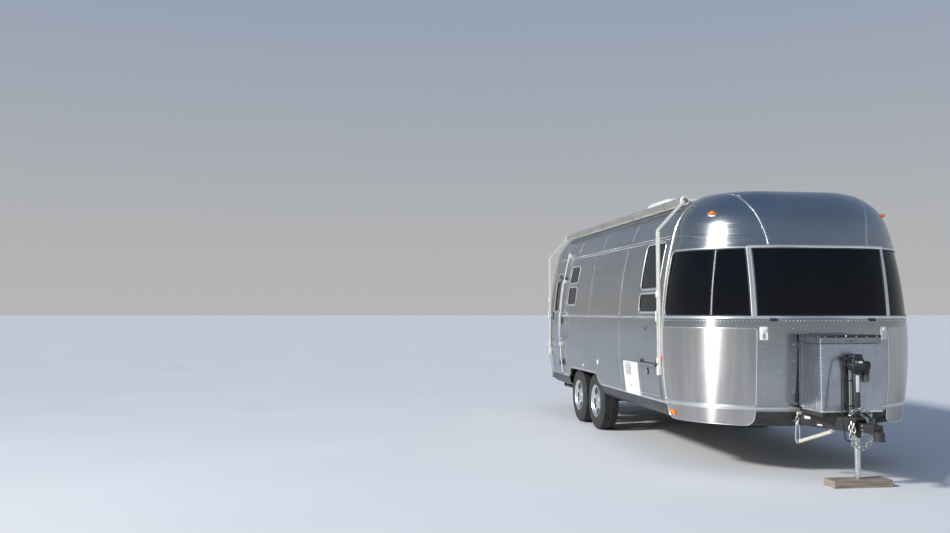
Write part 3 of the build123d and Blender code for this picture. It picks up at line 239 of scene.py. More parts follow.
# Floor, light and background
def background():
    """Pale at the horizon and greyer overhead, the same for the camera and for reflections."""
    scene.world = bpy.data.worlds.new("studio")
    scene.world.use_nodes = True
    tree = scene.world.node_tree
    split = add_node(tree, "SeparateXYZ", [("Vector", add_node(tree, "TexCoord").outputs["Generated"])])
    fade = add_node(tree, "ValToRGB", [("Fac", split.outputs["Z"])])
    colour = ramp(fade, ((0.0, (0.47, 0.47, 0.465)), (0.10, (0.43, 0.44, 0.455)), (0.38, (0.27, 0.34, 0.46)),
                         (1.0, (0.14, 0.22, 0.38))))
    tree.links.new(colour, tree.nodes["Background"].inputs["Color"])


def softbox(name, place, aim, size, watts):
    light = bpy.data.lights.new(name, "AREA")
    light.shape = "RECTANGLE"
    light.size, light.size_y = size
    light.energy = watts
    lamp = placed(name, light)
    lamp.location = place
    lamp.rotation_euler = (Vector(aim) - Vector(place)).to_track_quat("-Z", "Y").to_euler()


def soft_sun(toward, strength, width):
    light = bpy.data.lights.new("soft_sun", "SUN")
    light.energy = strength
    light.angle = radians(width)
    placed("soft_sun", light).rotation_euler = Vector(toward).to_track_quat("Z", "Y").to_euler()


def studio_floor():
    half = 400.0
    mesh = bpy.data.meshes.new("studio_floor")
    mesh.from_pydata([(-half, -half, 0), (half, -half, 0), (half, half, 0), (-half, half, 0)], [],
                     [(0, 1, 2, 3)])
    floor = placed("studio_floor", mesh)
    mesh.materials.append(
        finish("floor_paper", (0.74, 0.735, 0.72), (0.78, 0.775, 0.76), (0.8, 0.9), 0.4, 12, 0.0002))


background()
studio_floor()
soft_sun((0.246, -0.830, 0.52), 3.0, 7)
softbox("tall_strip", (6.38, -12.4, 5.3), (2.7, -1.0, 1.4), (0.30, 11.0), 420)
scene.view_settings.view_transform = "Standard"

# Shell: the section's arcs, turned about both edges of the crown strip at each end
front_joint, rear_joint = 2.080, -2.940
crown_half = 0.305
roof_top = 2.805
wall_bottom = 0.607
side_radius, shoulder_radius, crown_radius = 4.2, 0.52, 2.6
side_middle = (1.285 - side_radius, 1.25)
crown_middle = (crown_half, roof_top - crown_radius)
corner_scale = 0.98      # metres of plan travel counted for one radian of an end's turn
nose_along = front_joint + corner_scale * pi / 2 + crown_half       # the front's middle line


def shoulder_middle():
    reach_side = side_radius - shoulder_radius
    reach_crown = crown_radius - shoulder_radius
    dy, dz = crown_middle[0] - side_middle[0], crown_middle[1] - side_middle[1]
    gap = hypot(dy, dz)
    along = (reach_side ** 2 - reach_crown ** 2 + gap ** 2) / (2 * gap)
    off = sqrt(reach_side ** 2 - along ** 2)
    return side_middle[0] + (along * dy - off * dz) / gap, side_middle[1] + (along * dz + off * dy) / gap


shoulder = shoulder_middle()
foot_drop = wall_bottom - side_middle[1]
angle_low = atan2(foot_drop, sqrt(side_radius ** 2 - foot_drop ** 2))
angle_high = atan2(shoulder[1] - side_middle[1], shoulder[0] - side_middle[0])
angle_turn = atan2(shoulder[1] - crown_middle[1], shoulder[0] - crown_middle[0])
rise_side = side_radius * (angle_high - angle_low)
rise_shoulder = rise_side + shoulder_radius * (angle_turn - angle_high)
rise_crown = rise_shoulder + crown_radius * (pi / 2 - angle_turn)
rise_middle = rise_crown + crown_half


def section(rise):
    """Half width, height and outward normal at a distance up the section from the wall's foot."""
    if rise <= rise_side:
        centre, radius, angle = side_middle, side_radius, angle_low + rise / side_radius
    elif rise <= rise_shoulder:
        centre, radius, angle = shoulder, shoulder_radius, angle_high + (rise - rise_side) / shoulder_radius
    elif rise <= rise_crown:
        centre, radius, angle = crown_middle, crown_radius, angle_turn + (rise - rise_shoulder) / crown_radius
    else:
        return crown_half - (rise - rise_crown), roof_top, 0.0, 1.0
    return centre[0] + radius * cos(angle), centre[1] + radius * sin(angle), cos(angle), sin(angle)


def rise_at(height):
    """Distance up the section at which the shell has this height."""
    low, high = -0.3, rise_crown
    for _ in range(40):
        middle = (low + high) / 2
        if section(middle)[1] < height:
            low = middle
        else:
            high = middle
    return low


def shell(along, rise, out=0.0):
    """Point on the right side's shell: along X to the joint, then round the front to the left side."""
    if along > nose_along:
        return to_left(shell(2 * nose_along - along, rise, out))
    half, height, ny, nz = section(rise)
    height += nz * out
    if along <= front_joint:
        return Vector((along, -(half + ny * out), height))
    reach = half - crown_half + ny * out
    turn = (along - front_joint) / corner_scale
    if turn <= pi / 2:
        return Vector((front_joint + reach * sin(turn), -(crown_half + reach * cos(turn)), height))
    return Vector((front_joint + reach, -crown_half + (turn - pi / 2) * corner_scale, height))


def keep(point):
    return point


def to_left(point):
    return Vector((point.x, -point.y, point.z))


def to_rear(point):
    return Vector((front_joint + rear_joint - point.x, point.y, point.z))


def to_rear_left(point):
    return to_left(to_rear(point))


mirrored = (to_left, to_rear)
flanks = (("right", keep), ("left", to_left))
ends = (("front", keep), ("rear", to_rear))
corners = (("front", "right", keep), ("front", "left", to_left), ("rear", "right", to_rear),
           ("rear", "left", to_rear_left))
signs = (("right", -1), ("left", 1))


# Mesh makers
def piece(name, points, faces, material, rides=body, smooth=True, normals=None):
    mesh = bpy.data.meshes.new(name)
    mesh.from_pydata([tuple(point) for point in points], [], faces)
    mesh.materials.append(material)
    mesh.validate()
    mesh.polygons.foreach_set("use_smooth", [smooth] * len(mesh.polygons))
    if normals:
        mesh.normals_split_custom_set(normals)
    elif smooth:
        mesh.set_sharp_from_angle(angle=radians(38))
    made = placed(name, mesh)
    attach(made, rides)
    return made


def inside(point, loop):
    x, y = point
    hit = False
    for (x0, y0), (x1, y1) in zip(loop, loop[1:] + loop[:1]):
        if (y0 > y) != (y1 > y) and x < (x1 - x0) * (y - y0) / (y1 - y0) + x0:
            hit = not hit
    return hit


def arc(x, y, radius, start, steps=6):
    """Quarter turn of points about (x, y), anticlockwise from a start angle."""
    angles = [start + pi / 2 * step / steps for step in range(steps + 1)]
    return [(x + radius * cos(angle), y + radius * sin(angle)) for angle in angles]


def round_box(low, high, corner, steps=6):
    """Rounded rectangle as a loop of points, anticlockwise."""
    left, right, bottom, top = low[0] + corner, high[0] - corner, low[1] + corner, high[1] - corner
    middles = ((right, bottom, -pi / 2), (right, top, 0), (left, top, pi / 2), (left, bottom, pi))
    return [point for x, y, start in middles for point in arc(x, y, corner, start, steps)]


def dense(loop, gap, closed=True):
    """The same line with points no further apart than the gap."""
    result = []
    for (x0, y0), (x1, y1) in zip(loop, loop[1:] + loop[:1] if closed else loop[1:]):
        count = max(1, ceil(hypot(x1 - x0, y1 - y0) / gap))
        result += [(x0 + (x1 - x0) * step / count, y0 + (y1 - y0) * step / count) for step in range(count)]
    return result if closed else result + loop[-1:]


def tube_faces(rings, size, closed=False, first=0):
    """Faces between rings of equal size, with both ends shut unless the tube closes on itself."""
    faces = []
    for ring in range(rings if closed else rings - 1):
        here, then = first + ring * size, first + (ring + 1) % rings * size
        faces += [[here + i, here + (i + 1) % size, then + (i + 1) % size, then + i] for i in range(size)]
    if not closed:
        last = first + (rings - 1) * size
        faces += [list(range(first, first + size))[::-1], list(range(last, last + size))]
    return faces


def normal_at(surface, x, y, out):
    """Outward normal of a surface given in (along, rise)."""
    step = 0.0005
    along = surface(x + step, y, out) - surface(x - step, y, out)
    up = surface(x, y + step, out) - surface(x, y - step, out)
    normal = along.cross(up).normalized()
    return normal if normal.dot(surface(x, y, out + 0.01) - surface(x, y, out)) > 0 else -normal


def bounds_of(loop):
    xs, ys = zip(*loop)
    return min(xs), max(xs), min(ys), max(ys)


def sheet_mesh(outline, holes, gap):
    """Triangles that fill an outline about its holes: points and faces, in (along, rise)."""
    x0, x1, y0, y1 = bounds_of(outline)
    near_holes = []
    for hole in holes:
        left, right, bottom, top = bounds_of(hole)
        if left < x1 and right > x0 and bottom < y1 and top > y0:
            near_holes.append(dense(hole, gap))
    outer = dense(outline, gap)
    flat, edges = [], []
    for loop in [outer] + near_holes:
        first = len(flat)
        flat += loop
        edges += [(first + i, first + (i + 1) % len(loop)) for i in range(len(loop))]

    def filled(point):
        return inside(point, outer) and not any(inside(point, hole) for hole in near_holes)

    many_points = 900        # an outline with this many points needs no gap kept from it
    rim = flat[:] if len(flat) < many_points else []
    columns, rows = ceil((x1 - x0) / gap), ceil((y1 - y0) / gap)
    for column in range(1, columns):
        for row in range(1, rows):
            point = (x0 + (x1 - x0) * column / columns, y0 + (y1 - y0) * row / rows)
            near = min(((point[0] - x) ** 2 + (point[1] - y) ** 2 for x, y in rim), default=1)
            if near > (gap * 0.35) ** 2 and filled(point):
                flat.append(point)
    points, _, faces, _, _, _ = delaunay_2d_cdt([Vector(p) for p in flat], edges, [], 0, 1e-7)
    faces = [face for face in faces if filled([sum(points[i][k] for i in face) / 3 for k in (0, 1)])]
    used = sorted({i for face in faces for i in face})
    renumber = {old: new for new, old in enumerate(used)}
    return [points[i] for i in used], [[renumber[i] for i in face] for face in faces]


def skin(name, outline, holes=(), thick=(0.0002, 0.0014), gap=0.05, place=keep, rides=body,
         material=aluminium, surface=shell):
    """Thin closed sheet over the shell, bounded by an outline and holes in (along, rise)."""
    points, tris = sheet_mesh(outline, holes, gap)
    outer = [place(surface(x, y, thick[1])) for x, y in points]
    inner = [place(surface(x, y, thick[0])) for x, y in points]
    origin = place(Vector((0, 0, 0)))
    normal = [place(normal_at(surface, x, y, thick[1])) - origin for x, y in points]
    count = len(points)
    flip = place in mirrored
    half_edges = {(tri[i], tri[(i + 1) % 3]): True for tri in tris for i in range(3)}
    faces, corner_normals = [], []

    def add(face, given):
        if flip:
            face, given = face[::-1], given[::-1]
        faces.append(face)
        corner_normals.extend(given)

    for a, b, c in tris:
        add([a, b, c], [normal[a], normal[b], normal[c]])
        add([c + count, b + count, a + count], [-normal[c], -normal[b], -normal[a]])
    for a, b in half_edges:
        if (b, a) not in half_edges:
            side = (outer[b] - outer[a]).cross(inner[a] - outer[a]).normalized() * (1 if flip else -1)
            add([b, a, a + count, b + count], [side] * 4)
    return piece(name, outer + inner, faces, material, rides, True, corner_normals)


def ribbon(name, path, outline, material=bright_trim, closed=False, place=keep, rides=body, lift=0.0,
           gap=0.04):
    """Moulding laid on the shell along a path in (along, rise); the outline is (sideways, outward)."""
    path = dense(path, gap, closed)
    count = len(path)
    points = []
    for i, (x, y) in enumerate(path):
        before = path[(i - 1) % count] if closed or i else path[i]
        after = path[(i + 1) % count] if closed or i < count - 1 else path[i]
        run = hypot(after[0] - before[0], after[1] - before[1]) or 1.0
        across = ((before[1] - after[1]) / run, (after[0] - before[0]) / run)
        points += [place(shell(x + across[0] * a, y + across[1] * a, b + lift)) for a, b in outline]
    faces = tube_faces(count, len(outline), closed)
    if place not in mirrored:
        faces = [face[::-1] for face in faces]
    return piece(name, points, faces, material, rides, False)


def half_round(width, height, sides=6):
    """Low D-shaped outline for mouldings, its flat on the shell."""
    return [(-width / 2 * cos(pi * i / sides), height * sin(pi * i / sides)) for i in range(sides + 1)]


def bar(name, path, outline, material, rides=body, up=(0, 0, 1), closed=False):
    """Solid bar: an outline of (sideways, upward) offsets carried along a path, mitred at its bends."""
    path = [Vector(point) for point in path]
    count = len(path)
    points = []
    for i, here in enumerate(path):
        before = path[(i - 1) % count] if closed or i else here
        after = path[(i + 1) % count] if closed or i < count - 1 else here
        run = (after - before).normalized()
        side = run.cross(Vector(up)).normalized()
        top = side.cross(run)
        come, leave = (here - before).normalized(), (after - here).normalized()
        stretch = 1 / sqrt(max((1 + come.dot(leave)) / 2, 0.2)) if before != here and after != here else 1.0
        flat_turn = abs((leave - come).dot(side)) > 1e-6
        points += [here + side * a * (stretch if flat_turn else 1) + top * b * (1 if flat_turn else stretch)
                   for a, b in outline]
    return piece(name, points, tube_faces(count, len(outline), closed), material, rides)


def disc(radius, sides=14):
    return [(radius * cos(tau * i / sides), radius * sin(tau * i / sides)) for i in range(sides)]


def turned(name, base, axis, profile, material, rides=body, sides=36):
    """Solid turned about an axis through its base; the profile is (along, radius) pairs from end to end."""
    base, axis = Vector(base), Vector(axis).normalized()
    side = axis.orthogonal().normalized()
    other = axis.cross(side)
    points, faces, rings = [], [], []
    for along, radius in profile:
        if rings and (along, radius) == profile[0]:
            rings.append(rings[0])
        elif radius < 1e-6:
            rings.append([len(points)])
            points.append(base + axis * along)
        else:
            rings.append(list(range(len(points), len(points) + sides)))
            points += [base + axis * along + (side * u + other * v) * radius for u, v in disc(1.0, sides)]
    for low, high in zip(rings, rings[1:]):
        for i in range(sides):
            j = (i + 1) % sides
            corners = [low[i % len(low)], low[j % len(low)], high[j % len(high)], high[i % len(high)]]
            face = [v for n, v in enumerate(corners) if v not in corners[:n]]
            if len(face) > 2:
                faces.append(face)
    if profile[0] != profile[-1]:
        faces += [ring for ring in (rings[0][::-1], rings[-1]) if len(ring) > 1]
    return piece(name, points, faces, material, rides)


def slab(name, low, high, material, corner=0.004, rides=body, steps=3, turn=None):
    """Box with rounded edges, from its lowest to its highest corner, turned about its middle."""
    made = bmesh.new()
    middle = (Vector(low) + Vector(high)) / 2
    size = Vector(high) - Vector(low)
    bmesh.ops.create_cube(made, size=1.0, matrix=Matrix.Diagonal((*size, 1.0)))
    bmesh.ops.bevel(made, geom=made.edges[:], offset=corner, segments=steps, profile=0.5, affect="EDGES")
    turning = Matrix.Translation(middle) @ (turn.to_4x4() if turn else Matrix.Identity(4))
    bmesh.ops.transform(made, matrix=turning, verts=made.verts[:])
    points = [vertex.co.copy() for vertex in made.verts]
    faces = [[vertex.index for vertex in face.verts] for face in made.faces]
    made.free()
    return piece(name, points, faces, material, rides)


def bubble(name, along, rise, half, height, material, place=keep, rides=body, power=0.5, lift=0.001,
           sides=28):
    """Low dome on the shell with an oval foot, for lamps and covers."""
    rings = 6
    points = [place(shell(along, rise, lift + height))]
    for ring in range(1, rings + 1):
        share = ring / rings
        level = lift + height * (1 - share ** 2) ** power if ring < rings else 0.0
        points += [place(shell(along + half[0] * share * cos(tau * i / sides),
                               rise + half[1] * share * sin(tau * i / sides), level)) for i in range(sides)]
    faces = [[0, 1 + i, 1 + (i + 1) % sides] for i in range(sides)]
    for ring in range(rings - 1):
        first = 1 + ring * sides
        faces += [[first + i, first + sides + i, first + sides + (i + 1) % sides, first + (i + 1) % sides]
                  for i in range(sides)]
    last = 1 + (rings - 1) * sides
    faces.append([last + i for i in range(sides)][::-1])
    if place in mirrored:
        faces = [face[::-1] for face in faces]
    return piece(name, points, faces, material, rides)


class Studs:
    """Collects small domes and makes one mesh of them."""

    def __init__(self):
        self.points, self.faces = [], []

    def add(self, place, normal, radius=0.0050, height=0.0022, sides=8):
        normal = Vector(normal).normalized()
        side = normal.orthogonal().normalized()
        other = normal.cross(side)
        first = len(self.points)
        for share, level in ((1.0, 0.0), (0.72, 0.72)):
            for i in range(sides):
                turn = tau * i / sides
                self.points.append(
                    place + (side * cos(turn) + other * sin(turn)) * radius * share + normal * height * level)
        self.points.append(place + normal * height)
        top = first + 2 * sides
        for i in range(sides):
            j = (i + 1) % sides
            self.faces.append([first + i, first + j, first + sides + j, first + sides + i])
            self.faces.append([first + sides + i, first + sides + j, top])
        self.faces.append([first + i for i in range(sides)][::-1])

    def line(self, path, gap, place=keep, lift=0.0014):
        """Studs at an even gap along a path in (along, rise)."""
        marks = dense(path, 0.01, False)
        gone, wanted = 0.0, gap * 0.5
        for (x0, y0), (x1, y1) in zip(marks, marks[1:]):
            run = (shell(x1, y1, lift) - shell(x0, y0, lift)).length
            while run > 0 and gone + run >= wanted:
                share = (wanted - gone) / run
                x, y = x0 + (x1 - x0) * share, y0 + (y1 - y0) * share
                on, above = place(shell(x, y, lift)), place(shell(x, y, lift + 0.01))
                self.add(on, above - on)
                wanted += gap
            gone += run

    def make(self, name, material=rivet_metal, rides=body, slot=None):
        return piece(name, self.points, self.faces, material, rides)


# Wall sheets between their upright seams
belt = 1.486
roof_seam = 2.330
belt_rise, seam_rise = rise_at(belt), rise_at(roof_seam)
seam_gap = 0.0012
seam_lift = 0.0008       # a lapping sheet stands this much prouder


def wall_box(x0, x1, z0, z1, corner):
    """Rounded rectangle in (along, rise), from two places along and two heights."""
    return round_box((x0, rise_at(z0)), (x1, rise_at(z1)), corner)


def wall_line(*spots):
    """Path in (along, rise) through spots given by their place along and height."""
    return [(x, rise_at(z)) for x, z in spots]


def grown(window, by):
    x0, x1, z0, z1, corner = window
    return wall_box(x0 - by, x1 + by, z0 - by, z1 + by, corner + by)


# Each window: rear and front edge, lower and upper edge, corner radius
bedroom = [(1.340, 1.930, 1.800, 2.290, 0.06), (1.340, 1.930, 1.550, 1.750, 0.05)]
bath = [(-1.910, -1.460, 1.965, 2.200, 0.04), (-1.910, -1.460, 1.655, 1.905, 0.04)]
galley = [(-0.620, 0.330, 1.560, 2.170, 0.06)]
lounge = [(-2.790, -2.050, 1.560, 2.170, 0.06)]
window_lap = 0.006
door_lap = 0.018
door_hole = wall_box(-2.830 - door_lap, -2.270 + 0.004, 0.640 - door_lap, 2.330 - 0.0005, 0.085)
hatch_rear, hatch_front, hatch_low, hatch_high = 1.385, 1.965, 0.661, 0.985
hatch_hole = wall_box(
    hatch_rear - door_lap, hatch_front + door_lap, hatch_low - door_lap, hatch_high + 0.006, 0.03)
arch_x = -1.110
arch_half = (0.820 + 0.004, 0.720 + 0.004)      # at its foot and at its top
arch_top = 0.742


def arch_hole():
    """Outline of the wheel arch in (along, rise), open past the wall's foot."""
    low, high = arch_half
    top, corner, below = rise_at(arch_top) + 0.004, 0.09, -0.05
    points = [(arch_x - low, below), (arch_x + low, below), (arch_x + low, 0.0)]
    for side in (1, -1):
        for step in range(7):
            angle = pi / 2 * (1 - step / 6) if side < 0 else pi / 2 * step / 6
            points.append((arch_x + side * (high - corner + corner * cos(angle)),
                           top - corner + corner * sin(angle)))
    return points + [(arch_x - low, 0.0)]


# Each wall: its side, place, windows and all its openings
walls = [
    (side, place, windows, [grown(window, window_lap) for window in windows] + doors + [arch_hole()])
    for side, place, windows, doors in (
        ("right", keep, bedroom + bath, [door_hole, hatch_hole]),
        ("left", to_left, bedroom + galley + lounge, []))
]
lower_seams = [rear_joint, -1.98, 0.62, front_joint]
upper_seams = [rear_joint, -2.03, -0.74, 0.62, front_joint]
for side, place, windows, holes in walls:
    for level, seams, low, high, lift in (
        ("lower", lower_seams, 0.0, belt_rise, 0.0), ("upper", upper_seams, belt_rise, seam_rise, seam_lift)
    ):
        for number, (x0, x1) in enumerate(zip(seams, seams[1:])):
            outline = round_box((x0 + seam_gap, low + seam_gap), (x1 - seam_gap, high - seam_gap), 0.001, 1)
            skin("skin_%s_%s_%d" % (side, level, number + 1), outline, holes, (0.0002, 0.0014 + lift),
                 place=place)


# End caps: petals of sheet over each end, with the window openings
def along_at_turn(turn):
    return front_joint + corner_scale * turn


def reach_at(rise):
    return section(rise)[0] - crown_half


def along_at_x(x, rise):
    """Place round the front corner where the shell has this X."""
    return along_at_turn(asin(min(1.0, (x - front_joint) / reach_at(rise))))


def along_at_y(y, rise):
    """Place round the front corner where the shell is this far from the middle line."""
    if y <= crown_half:
        return nose_along - y
    return along_at_turn(acos(min(1.0, (y - crown_half) / reach_at(rise))))


def front_spot(y, z):
    """Spot in (along, rise) on the front, at a distance from its middle line and a height."""
    return along_at_y(y, rise_at(z)), rise_at(z)


def opposite(points):
    """The same points on the other side of the front's middle line."""
    return [(2 * nose_along - x, y) for x, y in points]


def across_front(points):
    """A half line from the right side, carried on to its mirror image on the left."""
    return points + opposite(reversed(points))


glass_low, glass_high = 1.512, 2.168
post_y = 0.687
brow_top = 2.198
wrap_rear, wrap_front, middle_half = 0.075, 0.712, 0.662


def glass_edge(y, low, high):
    """Nearly upright edge of an end window, with its points in eight steps."""
    rises = [low + (high - low) * step / 8 for step in range(9)]
    return [(along_at_y(y, rise), rise) for rise in rises]


def wrap_outline(grow):
    """Rounded outline of a wraparound window on the right front corner."""
    low, high = rise_at(glass_low) - grow, rise_at(glass_high) + grow
    corner, steps = 0.07, 6
    points = glass_edge(wrap_front - grow, low, high)
    for middle, start in ((high - corner, pi / 2), (low + corner, pi)):
        for step in range(steps + 1):
            angle = start + pi / 2 * step / steps
            rise = middle + corner * sin(angle)
            edge = along_at_x(front_joint + wrap_rear - grow + corner, rise)
            points.append((edge + corner * cos(angle), rise))
    return points


def middle_outline(grow):
    edge = glass_edge(middle_half + grow, rise_at(glass_low) - grow, rise_at(glass_high) + grow)
    return opposite(edge) + edge[::-1]


def inset_line(points, gap):
    """The path moved sideways in (along, rise), to its left."""
    moved = []
    for i, (x, y) in enumerate(points):
        before, after = points[max(i - 1, 0)], points[min(i + 1, len(points) - 1)]
        run = hypot(after[0] - before[0], after[1] - before[1])
        moved.append((x - (after[1] - before[1]) / run * gap, y + (after[0] - before[0]) / run * gap))
    return moved


# Seam between the middle petal and a corner petal: (turn in degrees, height)
petal_seam = [(76.3, brow_top), (75.8, 2.26), (74.2, 2.342), (71.8, 2.44), (68.4, 2.536), (62.6, 2.63),
              (55.5, 2.700), (44.0, 2.745), (28.0, 2.767), (13.0, 2.775), (0.0, 2.776)]
seam_path = [(along_at_turn(radians(turn)), rise_at(height)) for turn, height in petal_seam]
lap = 0.001
corner_petal = (
    [(front_joint + lap, belt_rise + lap), (front_spot(post_y, belt)[0], belt_rise + lap),
     front_spot(post_y, brow_top), (seam_path[0][0], rise_at(brow_top))]
    + inset_line(seam_path, lap) + [(front_joint + lap, seam_path[-1][1] - lap)]
)
half_crown = inset_line(seam_path, -lap)[::-1]
half_petal = [(front_joint + lap, rise_crown - 0.004),
              (front_joint + lap, seam_path[-1][1] + lap)] + half_crown[1:]
middle_petal = half_petal[1:] + opposite(half_petal[::-1]) + half_petal[:1]
lower_guard_y = 0.66
lower_middle = [(along_at_y(lower_guard_y, 0.0), 0.0),
                (along_at_y(lower_guard_y, belt_rise), belt_rise - lap)]
lower_sheet = [lower_middle[0]] + opposite(lower_middle) + [lower_middle[1]]
corner_sheet = [(front_joint + lap, 0.0), (lower_middle[0][0] - lap, 0.0),
                (lower_middle[1][0] - lap, belt_rise - lap), (front_joint + lap, belt_rise - lap)]
lapped = (0.0002, 0.0014 + seam_lift)
for end, side, put in corners:
    skin("skin_%s_corner_%s" % (end, side), corner_petal, [wrap_outline(window_lap)], gap=0.045, place=put)
    skin("skin_%s_low_%s" % (end, side), corner_sheet, place=put)
for end, place in ends:
    skin("skin_%s_crown" % end, middle_petal, thick=lapped, gap=0.045, place=place)
    skin("skin_%s_low_middle" % end, lower_sheet, thick=lapped, gap=0.06, place=place)

# Roof sheets between the side walls, lapped at cross seams
roof_seams = [rear_joint, -1.72, -0.50, 0.72, front_joint]
for number, (x0, x1) in enumerate(zip(roof_seams, roof_seams[1:])):
    for side, place in flanks:
        outline = [(x0 + seam_gap, seam_rise + seam_gap), (x1 - seam_gap, seam_rise + seam_gap),
                   (x1 - seam_gap, rise_middle), (x0 + seam_gap, rise_middle)]
        skin("skin_roof_%s_%d" % (side, number + 1), outline,
             thick=(0.0002, 0.0014 + seam_lift * (number % 2)), gap=0.06, place=place)

# Rivets
rivet_gap, rivet_off = 0.036, 0.013
on_lap = 0.0022          # how far the top of a lapped joint stands off the shell


def clear_runs(start, stop, holes, steps=160):
    """Parts of a straight (along, rise) line that miss every hole."""
    runs = [[]]
    for step in range(steps + 1):
        point = tuple(a + (b - a) * step / steps for a, b in zip(start, stop))
        if any(inside(point, hole) for hole in holes):
            runs.append([])
        else:
            runs[-1].append(point)
    return [run for run in runs if len(run) > 1]


def beside(seams):
    """X of the rivet lines on both sides of upright seams."""
    lines = [x + shift for x in seams for shift in (-rivet_off, rivet_off)]
    return [x for x in lines if rear_joint < x < front_joint]


wall_rivets = Studs()
level_lines = (belt_rise + 0.012, seam_rise - 0.014, seam_rise + 0.016, 0.05)
for side, place, windows, holes in walls:
    lines = [((rear_joint, rise), (front_joint, rise)) for rise in level_lines]
    for seams, low, high in ((lower_seams, 0.05, belt_rise), (upper_seams, belt_rise, seam_rise)):
        lines += [((x, low + 0.03), (x, high - 0.03)) for x in beside(seams)]
    for start, stop in lines:
        for run in clear_runs(start, stop, holes):
            wall_rivets.line(run, rivet_gap, place, on_lap)
    for x in beside(roof_seams):
        wall_rivets.line([(x, seam_rise + 0.05), (x, rise_middle - 0.02)], rivet_gap, place, on_lap)
wall_rivets.make("rivets_walls")

cap_rivets = Studs()
# Brow line from the joint to the eyebrow: (X, height)
brow_line = [(along_at_x(x, seam_rise), rise_at(z)) for x, z in ((2.38, 2.322), (2.62, 2.262), (2.76, 2.215))]
# Widely spaced studs on the lower middle sheet: (Y, rise at which Y is taken, lower and upper height)
lower_lines = ((0.34, 0.5, 0.72, 1.40), (0.62, 0.5, 0.70, 1.25))
for end, side, put in corners:
    cap_rivets.line(inset_line(seam_path, rivet_off), 0.034, put)
    cap_rivets.line(inset_line(seam_path, -rivet_off), 0.034, put, on_lap)
    cap_rivets.line([(front_joint + 0.045, 0.05), (front_joint + 0.045, rise_crown - 0.1)], rivet_gap, put)
    cap_rivets.line([(front_joint + 0.02, seam_rise)] + brow_line, rivet_gap, put)
    cap_rivets.line([(front_joint + 0.05, belt_rise - 0.02), (nose_along, belt_rise - 0.02)], rivet_gap, put,
                    on_lap)
    cap_rivets.line(wall_line((along_at_y(0.55, 0.7), 0.98), (along_at_y(0.36, 0.7), 0.98)), 0.14, put,
                    on_lap)
    for y, rise, low, high in lower_lines:
        cap_rivets.line(wall_line((along_at_y(y, rise), low), (along_at_y(y, rise), high)), 0.15, put, on_lap)
cap_rivets.make("rivets_ends")

# Trim round the end windows, replacing the plain solids
skirt_rise = (rise_at(0.472), rise_at(0.6245))
guard_rise = (rise_at(0.6575), rise_at(1.396))
guard_x, guard_y = 2.120, 0.668
rail_shape = [(-0.013, 0.0003), (-0.013, 0.005), (-0.009, 0.0075), (-0.003, 0.0055), (0.003, 0.0055),
              (0.009, 0.0075), (0.013, 0.005), (0.013, 0.0003)]
post_shape = [(-0.024, 0.0003), (-0.024, 0.005), (-0.019, 0.0078), (-0.012, 0.0078), (-0.008, 0.003),
              (0.008, 0.003), (0.012, 0.0078), (0.019, 0.0078), (0.024, 0.005), (0.024, 0.0003)]
gasket_shape = [(-0.007, -0.004), (-0.007, 0.002), (-0.003, 0.0045), (0.003, 0.0045), (0.007, 0.002),
                (0.007, -0.004)]
brow_shape = [(-0.015, 0.0003), (-0.015, 0.004), (-0.005, 0.014), (0.003, 0.016), (0.015, 0.006),
              (0.015, 0.0003)]
rail_start = front_joint + 0.022
post_heights = [glass_low + (glass_high - glass_low) * i / 10 for i in range(11)]
for end, place in ends:
    sill = ribbon("sill_rail_" + end, wall_line((rail_start, 1.499), (2 * nose_along - rail_start, 1.499)),
                  rail_shape, place=place)
    if end == "front":
        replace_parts(sill, "end_window_trim")
    ribbon("eyebrow_" + end, across_front([front_spot(0.70, 2.183)]), brow_shape, place=place)
    ribbon("window_rubber_" + end, middle_outline(-0.004), gasket_shape, black_plastic, True, place)
for end, side, put in corners:
    name = "%s_%s" % (end, side)
    ribbon("window_post_" + name, [front_spot(post_y, z) for z in post_heights], post_shape, place=put)
    ribbon("wrap_frame_" + name, wrap_outline(0.010), half_round(0.020, 0.006), closed=True, place=put)
    ribbon("wrap_rubber_" + name, wrap_outline(-0.004), gasket_shape, black_plastic, True, put)


# Stone guards: brushed sheets on the front corners with a bright bead round each
def guard_outline(low, high, corner, round_low):
    """Panel round the front corner in (along, rise), its lower corners rounded where asked."""
    x0 = along_at_x(guard_x, (low + high) / 2)
    size = corner if round_low else 0.02
    points = (arc(x0 + size, low + size, size, pi, 8)
              + arc(along_at_y(guard_y, low) - size, low + size, size, 3 * pi / 2, 8))
    if round_low:
        return points + [(along_at_y(guard_y, high), high), (x0, high)]
    return (points + arc(along_at_y(guard_y, high) - corner, high - corner, corner, 0.0, 8)
            + arc(x0 + corner, high - corner, corner, pi / 2, 8))


upper_guard = guard_outline(*guard_rise, 0.028, False)
lower_guard = guard_outline(*skirt_rise, 0.095, True)
reflector_ends = [along_at_x(x, skirt_rise[0]) for x in (2.150, 2.262)]
for side, put in flanks:
    guard = skin("stone_guard_" + side, upper_guard, thick=(0.0006, 0.0042), place=put, material=guard_steel)
    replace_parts(guard, "rock_guards")
    skin("stone_skirt_" + side, lower_guard, thick=(0.0024, 0.0065), gap=0.04, place=put,
         material=guard_steel)
    ribbon("guard_bead_" + side, upper_guard, half_round(0.011, 0.0075), closed=True, place=put, lift=0.0005)
    ribbon("skirt_bead_" + side, lower_guard, half_round(0.011, 0.007), closed=True, place=put, lift=0.0028)
    skin("front_reflector_" + side, wall_box(*reflector_ends, 0.512, 0.562, 0.008), thick=(0.0062, 0.0135),
         gap=0.03, place=put, material=amber_lens)
    skin("marker_lamp_" + side, wall_box(2.0815, 2.0985, 1.055, 1.097, 0.006), thick=(0.006, 0.019), gap=0.01,
         place=put, material=amber_lens)

